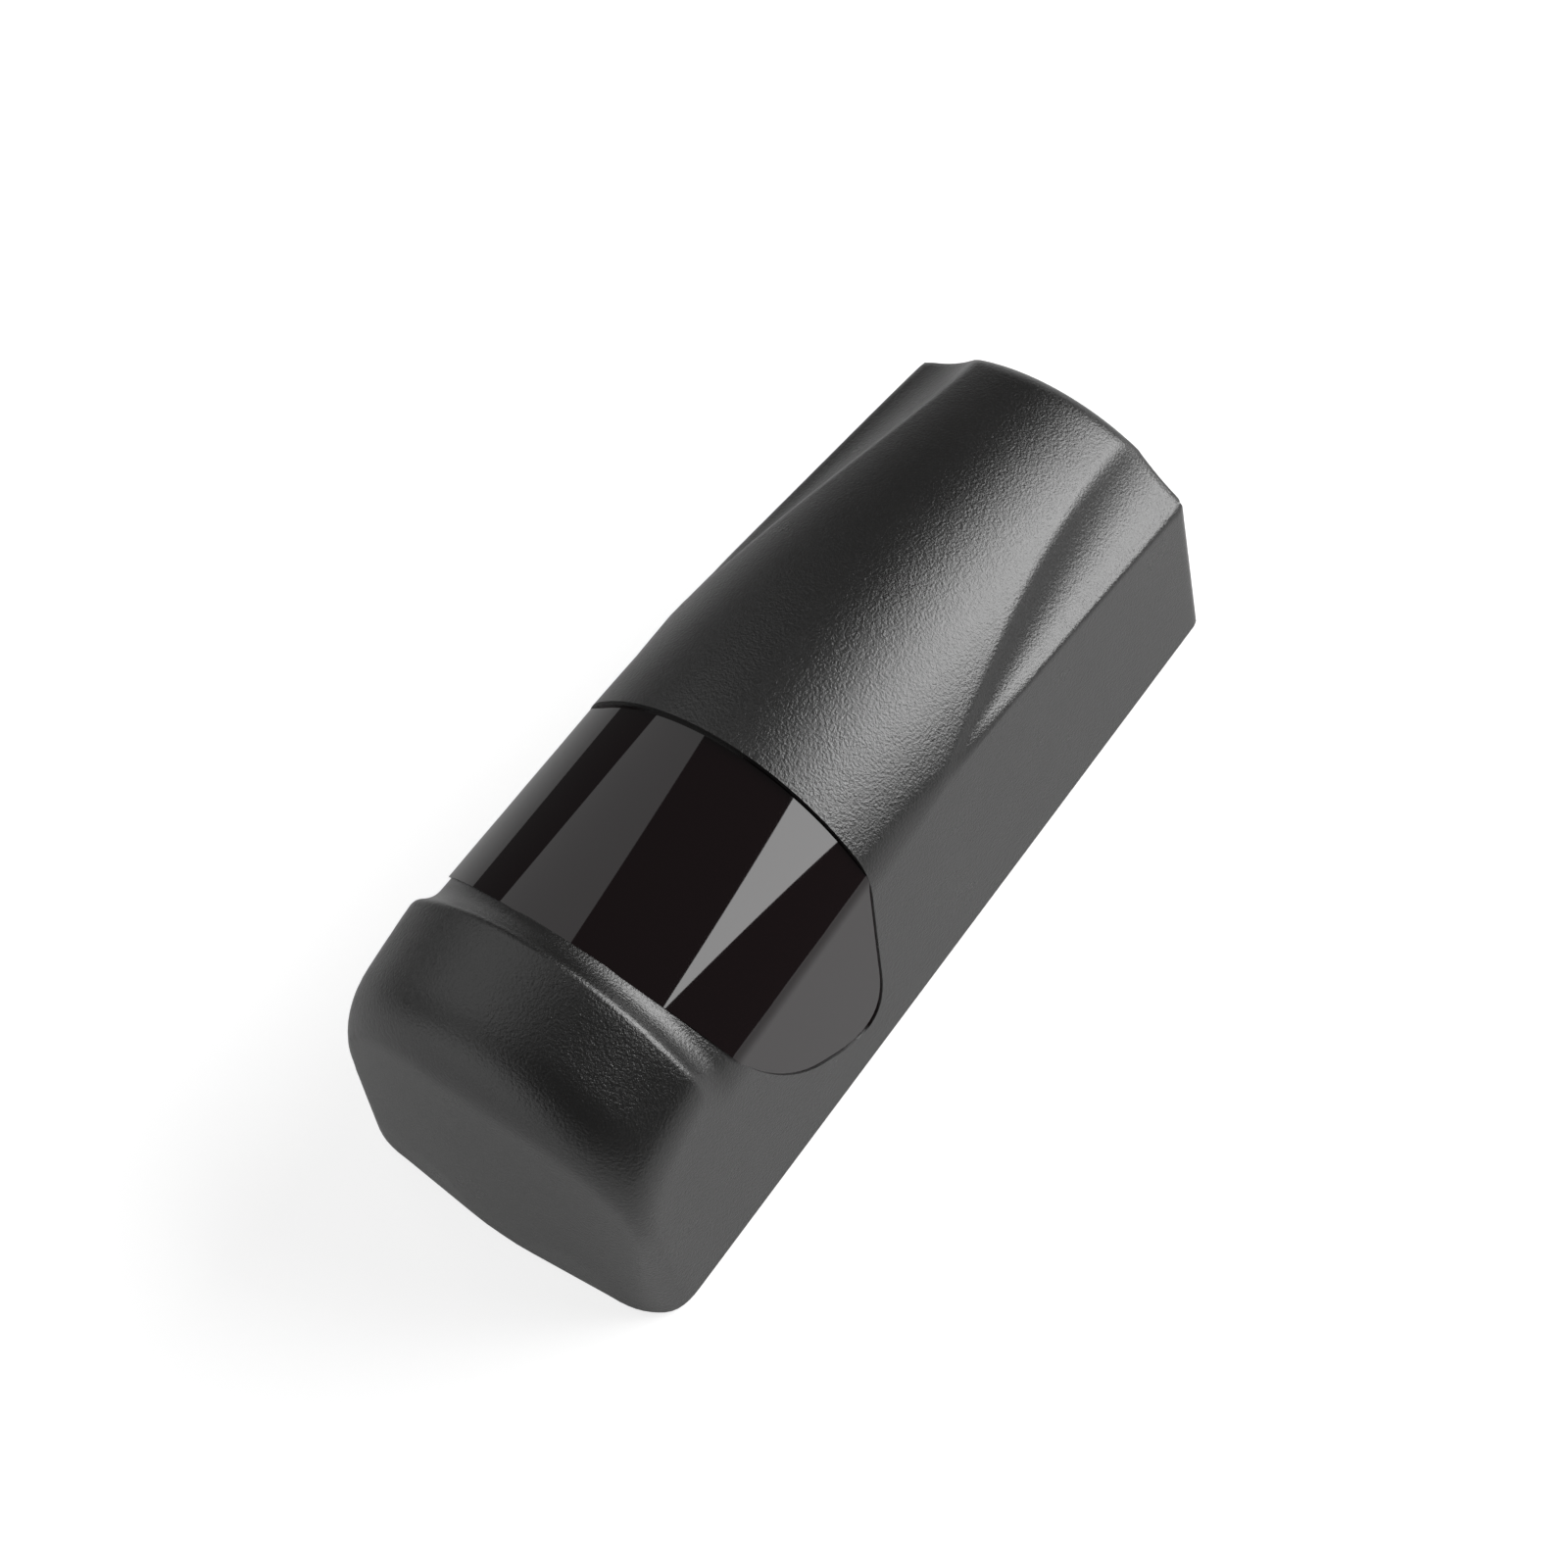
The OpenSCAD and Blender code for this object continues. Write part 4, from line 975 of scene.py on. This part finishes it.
class Dresser:
    """Makes a finished piece from a CAD node: merged, edges beveled, painted."""

    MERGE = 1e-6
    FLAT_DEGREES = 0.6
    SHARP_DEGREES = 30.0
    SMOOTH_DEGREES = 32

    def __init__(self, frame: Dict, paint: Paint) -> None:
        """Keeps the paint and the frame's nodes, and notes each node's body.

        Args:
            frame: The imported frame.
            paint: Gives the materials.
        """
        self.nodes = frame["nodes"]
        self.paint = paint
        self.body_of = {n: b for b, ns in frame["record"]["behaviour"]["bodies"].items() for n in ns}

    def dress(self, node: str, dressing: Dressing) -> None:
        """Makes the finished piece of one node.

        Args:
            node: The CAD node's name.
            dressing: Its finish and edge rounding.
        """
        bm = bmesh.new()
        bm.from_mesh(self.nodes[node].data)
        bmesh.ops.remove_doubles(bm, verts=bm.verts, dist=self.MERGE)
        bmesh.ops.dissolve_limit(
            bm, angle_limit=math.radians(self.FLAT_DEGREES), verts=bm.verts, edges=bm.edges
        )
        folded = [e for e in bm.edges if e.is_manifold]
        sharp = [e for e in folded if math.degrees(e.calc_face_angle(0.0)) > self.SHARP_DEGREES]
        bmesh.ops.bevel(
            bm, geom=sharp, offset=dressing.bevel_mm * MM, offset_type="OFFSET", segments=dressing.segments,
            profile=0.5, affect="EDGES", clamp_overlap=True, material=-1, loop_slide=True,
        )
        bmesh.ops.triangulate(bm, faces=[f for f in bm.faces if len(f.verts) > 4])
        bmesh.ops.recalc_face_normals(bm, faces=bm.faces)
        piece = link_piece(node + "_finished", bm)
        smooth_by_angle(piece, self.SMOOTH_DEGREES)
        self.settle(piece, node, dressing.finish)

    def settle(self, piece: bpy.types.Object, node: str, finish: Finish) -> None:
        """Paints a piece, ties it to its node's body and hides the node.

        Args:
            piece: The finished piece.
            node: The CAD node that it replaces.
            finish: Its finish.
        """
        piece.data.materials.clear()
        piece.data.materials.append(self.paint.get(finish))
        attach(piece, self.body_of[node])
        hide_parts(node)
        LOG.info("%s: %d faces", piece.name, len(piece.data.polygons))


# Sub-assemblies


@dataclass(frozen=True)
class FrontCover:
    """The cover body: the moulded cover and its window, each with a skin of its own."""

    sizes: CaseSizes = CaseSizes()
    blends: EdgeBlends = EdgeBlends()
    grid: SkinGrid = SkinGrid()
    cover_finish: Finish = Finish.COVER
    window_finish: Finish = Finish.WINDOW

    def build(self, dresser: Dresser) -> None:
        """Makes and dresses both pieces.

        Args:
            dresser: Paints the pieces and ties them to their body.
        """
        form = CaseForm(self.sizes, self.blends)
        dresser.settle(CoverSkin(form, self.grid).build(), "front_cover", self.cover_finish)
        dresser.settle(WindowSkin(form, self.grid).build(), "window", self.window_finish)


class SubAssembly:
    """A group of pieces, with one dataclass field for each CAD node that it dresses."""

    def build(self, dresser: Dresser) -> None:
        """Dresses the pieces in the order of the fields.

        Args:
            dresser: Makes and paints the pieces.
        """
        for node in fields(self):
            dresser.dress(node.name, getattr(self, node.name))


@dataclass(frozen=True)
class WallBase(SubAssembly):
    """The base on the wall, with its seal and grommet."""

    base: Dressing = Dressing(Finish.BASE, 0.22, 3)
    cover_seal: Dressing = Dressing(Finish.FOAM, 0.2, 2)
    cable_grommet: Dressing = Dressing(Finish.GROMMET, 0.2, 3)


@dataclass(frozen=True)
class ControlBoard(SubAssembly):
    """The main board and all that is on it."""

    main_board: Dressing = Dressing(Finish.BOARD, 0.08, 1)
    board_screws: Dressing = Dressing(Finish.ZINC, 0.12, 3)
    terminal_block: Dressing = Dressing(Finish.TERMINAL, 0.12, 2)
    terminal_clamps: Dressing = Dressing(Finish.NICKEL, 0.08, 2)
    terminal_screws: Dressing = Dressing(Finish.ZINC, 0.12, 3)
    relay: Dressing = Dressing(Finish.RELAY, 0.3, 3)
    supply_capacitor: Dressing = Dressing(Finish.SLEEVE, 0.3, 4)
    filter_capacitor: Dressing = Dressing(Finish.SLEEVE, 0.25, 4)
    surge_varistor: Dressing = Dressing(Finish.VARISTOR, 0.9, 5)
    bridge_rectifier: Dressing = Dressing(Finish.CHIP, 0.15, 2)
    voltage_regulator: Dressing = Dressing(Finish.CHIP, 0.12, 2)
    microcontroller: Dressing = Dressing(Finish.CHIP, 0.1, 2)
    crystal: Dressing = Dressing(Finish.CAN, 0.25, 4)
    status_led: Dressing = Dressing(Finish.LED, 0.08, 2)
    jumper_pins: Dressing = Dressing(Finish.PIN, 0.06, 1)
    jumper_cap: Dressing = Dressing(Finish.JUMPER, 0.15, 2)
    smd_parts: Dressing = Dressing(Finish.SMD, 0.06, 1)
    board_socket: Dressing = Dressing(Finish.SOCKET, 0.12, 2)


@dataclass(frozen=True)
class SwivelMount(SubAssembly):
    """The bracket that carries the lens head, and the yoke that pans on it."""

    swivel_bracket: Dressing = Dressing(Finish.BRACKET, 0.25, 3)
    bracket_screws: Dressing = Dressing(Finish.ZINC, 0.12, 3)
    pan_screw: Dressing = Dressing(Finish.ZINC, 0.15, 3)
    spring_washer: Dressing = Dressing(Finish.SPRING, 0.08, 2)
    yoke: Dressing = Dressing(Finish.BRACKET, 0.25, 3)


@dataclass(frozen=True)
class LensHead(SubAssembly):
    """The tilting head: tube, lens and detector."""

    lens_tube: Dressing = Dressing(Finish.TUBE, 0.2, 3)
    lens: Dressing = Dressing(Finish.LENS, 0.1, 2)
    lens_ring: Dressing = Dressing(Finish.TUBE, 0.2, 3)
    detector_board: Dressing = Dressing(Finish.BOARD, 0.08, 1)
    photodiode: Dressing = Dressing(Finish.DIODE, 0.08, 2)
    head_socket: Dressing = Dressing(Finish.SOCKET, 0.12, 2)
    tube_cap: Dressing = Dressing(Finish.TUBE, 0.15, 2)


# Stage


class LampShape(Enum):
    """Outline of a light; a disk takes the first of its two sizes."""

    DISK = "DISK"
    PANEL = "RECTANGLE"


@dataclass(frozen=True)
class Lamp:
    """One soft light, placed by its direction from the object.

    Attributes:
        name: Its name.
        shape: Its outline.
        side: Angle from straight in front towards the left side of the case (-x), in degrees.
        height: Angle above the horizon, in degrees.
        distance: Distance in metres.
        size: Width and height in metres.
        glow: Radiance of its surface, where 1 is white.
        lean: Angle between its plane and the line to the object, in degrees; 90 faces it.
        roll: Turn in its own plane, in degrees.
    """

    name: str
    shape: LampShape
    side: float
    height: float
    distance: float
    size: Tuple[float, float]
    glow: float
    lean: float = 90.0
    roll: float = 0.0


@dataclass(frozen=True)
class StageSet:
    """Camera, lights, table and room, in metres in the row frame."""

    centre: Tuple[float, float, float] = (0.0, -0.0205, 0.0445)
    eye: Tuple[float, float, float] = (-0.1543, -0.4087, 0.2052)
    up: Tuple[float, float, float] = (0.4846, -0.4975, -0.7195)
    lens_mm: float = 90.0
    sensor_mm: float = 36.0
    clip_near: float = 0.01
    clip_far: float = 20.0
    table_half: float = 0.4
    table_y: float = 0.0012
    table_grey: float = 0.42
    table_lift: float = 0.78
    table_mirrored: float = 0.26
    room_front_y: float = 0.1
    room_back_y: float = 0.4
    room_dim: float = 0.09
    lamps: Tuple[Lamp, ...] = (
        Lamp("key", LampShape.DISK, 40, -46, 0.70, (0.66, 0.66), 6.0),
        Lamp("key_top", LampShape.PANEL, 40.55, -18.6, 0.70, (0.3, 0.301), 4.6, lean=28, roll=45),
        Lamp("panel", LampShape.PANEL, -41.7, 6.3, 0.75, (0.9, 0.7), 0.65, roll=-17),
        Lamp("ceiling", LampShape.DISK, -74, 69.5, 0.75, (0.95, 0.95), 0.75),
        Lamp("back", LampShape.DISK, 146, 27, 0.7, (0.6, 0.6), 3.0),
        Lamp("back_low", LampShape.DISK, -140, -25, 0.7, (0.6, 0.6), 2.4),
    )


def axes_matrix(place: Vector, across: Vector, rise: Vector, back: Vector) -> Matrix:
    """Placement of a lamp or camera from its own three axes."""
    return Matrix.Translation(place) @ Matrix((across, rise, back)).transposed().to_4x4()


class Stage:
    """Table, world, lights and camera."""

    def __init__(self, plan: StageSet) -> None:
        """Keeps the plan."""
        self.plan = plan

    def build(self) -> None:
        """Sets the stage."""
        self._table()
        self._world()
        for lamp in self.plan.lamps:
            self._lamp(lamp)
        self._camera()
        bpy.context.scene.view_settings.view_transform = "Standard"

    def _table(self) -> None:
        """Lays the white table behind the part, on the wall plane."""
        bm = bmesh.new()
        bmesh.ops.create_grid(bm, x_segments=1, y_segments=1, size=self.plan.table_half)
        upright = Matrix.Rotation(math.radians(90), 3, "X")
        bmesh.ops.rotate(bm, verts=bm.verts, cent=(0, 0, 0), matrix=upright)
        bmesh.ops.translate(bm, verts=bm.verts, vec=(0, self.plan.table_y, 0))
        table = link_piece("table_top", bm)
        table.data.materials.append(self._table_white())

    def _table_white(self) -> bpy.types.Material:
        """Makes a white that keeps the shadow and lets back light and views from behind through.

        Returns:
            The material.
        """
        plan = self.plan
        mat = bpy.data.materials.new("table_white")
        mat.use_nodes = True
        nodes, links = mat.node_tree.nodes, mat.node_tree.links
        nodes.remove(nodes["Principled BSDF"])
        path = nodes.new("ShaderNodeLightPath")
        seen = path.outputs["Is Camera Ray"]
        for ray in ("Is Glossy Ray", "Is Transmission Ray"):
            either = nodes.new("ShaderNodeMath")
            either.operation = "MULTIPLY_ADD"
            either.inputs[1].default_value = plan.table_mirrored
            links.new(path.outputs[ray], either.inputs[0])
            links.new(seen, either.inputs[2])
            seen = either.outputs[0]
        level = nodes.new("ShaderNodeMath")
        level.operation = "MULTIPLY"
        level.inputs[1].default_value = plan.table_lift
        links.new(seen, level.inputs[0])
        lift = nodes.new("ShaderNodeEmission")
        links.new(level.outputs[0], lift.inputs["Strength"])
        white = nodes.new("ShaderNodeBsdfDiffuse")
        set_inputs(white, {"Color": (plan.table_grey, plan.table_grey, plan.table_grey, 1)})
        both = nodes.new("ShaderNodeAddShader")
        links.new(white.outputs[0], both.inputs[0])
        links.new(lift.outputs[0], both.inputs[1])
        passing = nodes.new("ShaderNodeMath")
        passing.operation = "MAXIMUM"
        links.new(nodes.new("ShaderNodeNewGeometry").outputs["Backfacing"], passing.inputs[0])
        links.new(path.outputs["Is Shadow Ray"], passing.inputs[1])
        mix = nodes.new("ShaderNodeMixShader")
        links.new(passing.outputs[0], mix.inputs[0])
        links.new(both.outputs[0], mix.inputs[1])
        links.new(nodes.new("ShaderNodeBsdfTransparent").outputs[0], mix.inputs[2])
        links.new(mix.outputs[0], nodes["Material Output"].inputs["Surface"])
        return mat

    def _world(self) -> None:
        """Makes the world white behind the part and to the camera, and dim in front of the part."""
        plan = self.plan
        world = bpy.data.worlds.new("studio")
        bpy.context.scene.world = world
        world.use_nodes = True
        nodes, links = world.node_tree.nodes, world.node_tree.links
        room = nodes["Background"]
        coords = nodes.new("ShaderNodeTexCoord")
        split = nodes.new("ShaderNodeSeparateXYZ")
        links.new(coords.outputs["Generated"], split.inputs[0])
        shade = nodes.new("ShaderNodeMapRange")
        set_inputs(shade, {"From Min": plan.room_front_y, "From Max": plan.room_back_y})
        set_inputs(shade, {"To Min": plan.room_dim, "To Max": 1.0})
        links.new(split.outputs["Y"], shade.inputs["Value"])
        links.new(shade.outputs["Result"], room.inputs["Strength"])
        set_inputs(room, {"Color": (1, 1, 1, 1)})
        seen = nodes.new("ShaderNodeBackground")
        set_inputs(seen, {"Color": (1, 1, 1, 1), "Strength": 1.0})
        path = nodes.new("ShaderNodeLightPath")
        mix = nodes.new("ShaderNodeMixShader")
        links.new(path.outputs["Is Camera Ray"], mix.inputs[0])
        links.new(room.outputs[0], mix.inputs[1])
        links.new(seen.outputs[0], mix.inputs[2])
        links.new(mix.outputs[0], nodes["World Output"].inputs["Surface"])

    def _lamp(self, lamp: Lamp) -> None:
        """Hangs one light so that its surface has the glow that it names.

        Args:
            lamp: The light.
        """
        width, length = lamp.size
        data = bpy.data.lights.new(lamp.name, "AREA")
        data.shape = lamp.shape.value
        data.size = width
        area = math.pi / 4 * width**2
        if lamp.shape is LampShape.PANEL:
            data.size_y = length
            area = width * length
        data.energy = math.pi * area * lamp.glow
        thing = bpy.data.objects.new(lamp.name, data)
        bpy.context.scene.collection.objects.link(thing)
        side, climb = math.radians(lamp.side), math.radians(lamp.height)
        lean, roll = math.radians(lamp.lean), math.radians(lamp.roll)
        flat = Vector((-math.sin(side), -math.cos(side), 0.0))
        away = flat * math.cos(climb) + Vector((0, 0, math.sin(climb)))
        over = -flat * math.sin(climb) + Vector((0, 0, math.cos(climb)))
        across = over.cross(away)
        rise = over * math.sin(lean) + away * math.cos(lean)
        back = across.cross(rise)
        turn = Matrix.Rotation(roll, 3, back)
        place = Vector(self.plan.centre) + away * lamp.distance
        thing.matrix_world = axes_matrix(place, turn @ across, turn @ rise, back)

    def _camera(self) -> None:
        """Places the camera at the photographed unit's viewing angle."""
        plan = self.plan
        data = bpy.data.cameras.new("camera")
        data.sensor_width = plan.sensor_mm
        data.lens = plan.lens_mm
        data.clip_start = plan.clip_near
        data.clip_end = plan.clip_far
        camera = bpy.data.objects.new("camera", data)
        bpy.context.scene.collection.objects.link(camera)
        eye = Vector(plan.eye)
        back = (eye - Vector(plan.centre)).normalized()
        right = Vector(plan.up).cross(back).normalized()
        camera.matrix_world = axes_matrix(eye, right, back.cross(right), back)
        bpy.context.scene.camera = camera


# Main


def main() -> None:
    """Builds the whole scene."""
    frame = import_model()
    dresser = Dresser(frame, Paint())
    for group in (FrontCover(), WallBase(), ControlBoard(), SwivelMount(), LensHead()):
        group.build(dresser)
    Stage(StageSet()).build()


if __name__ == "__main__":
    main()
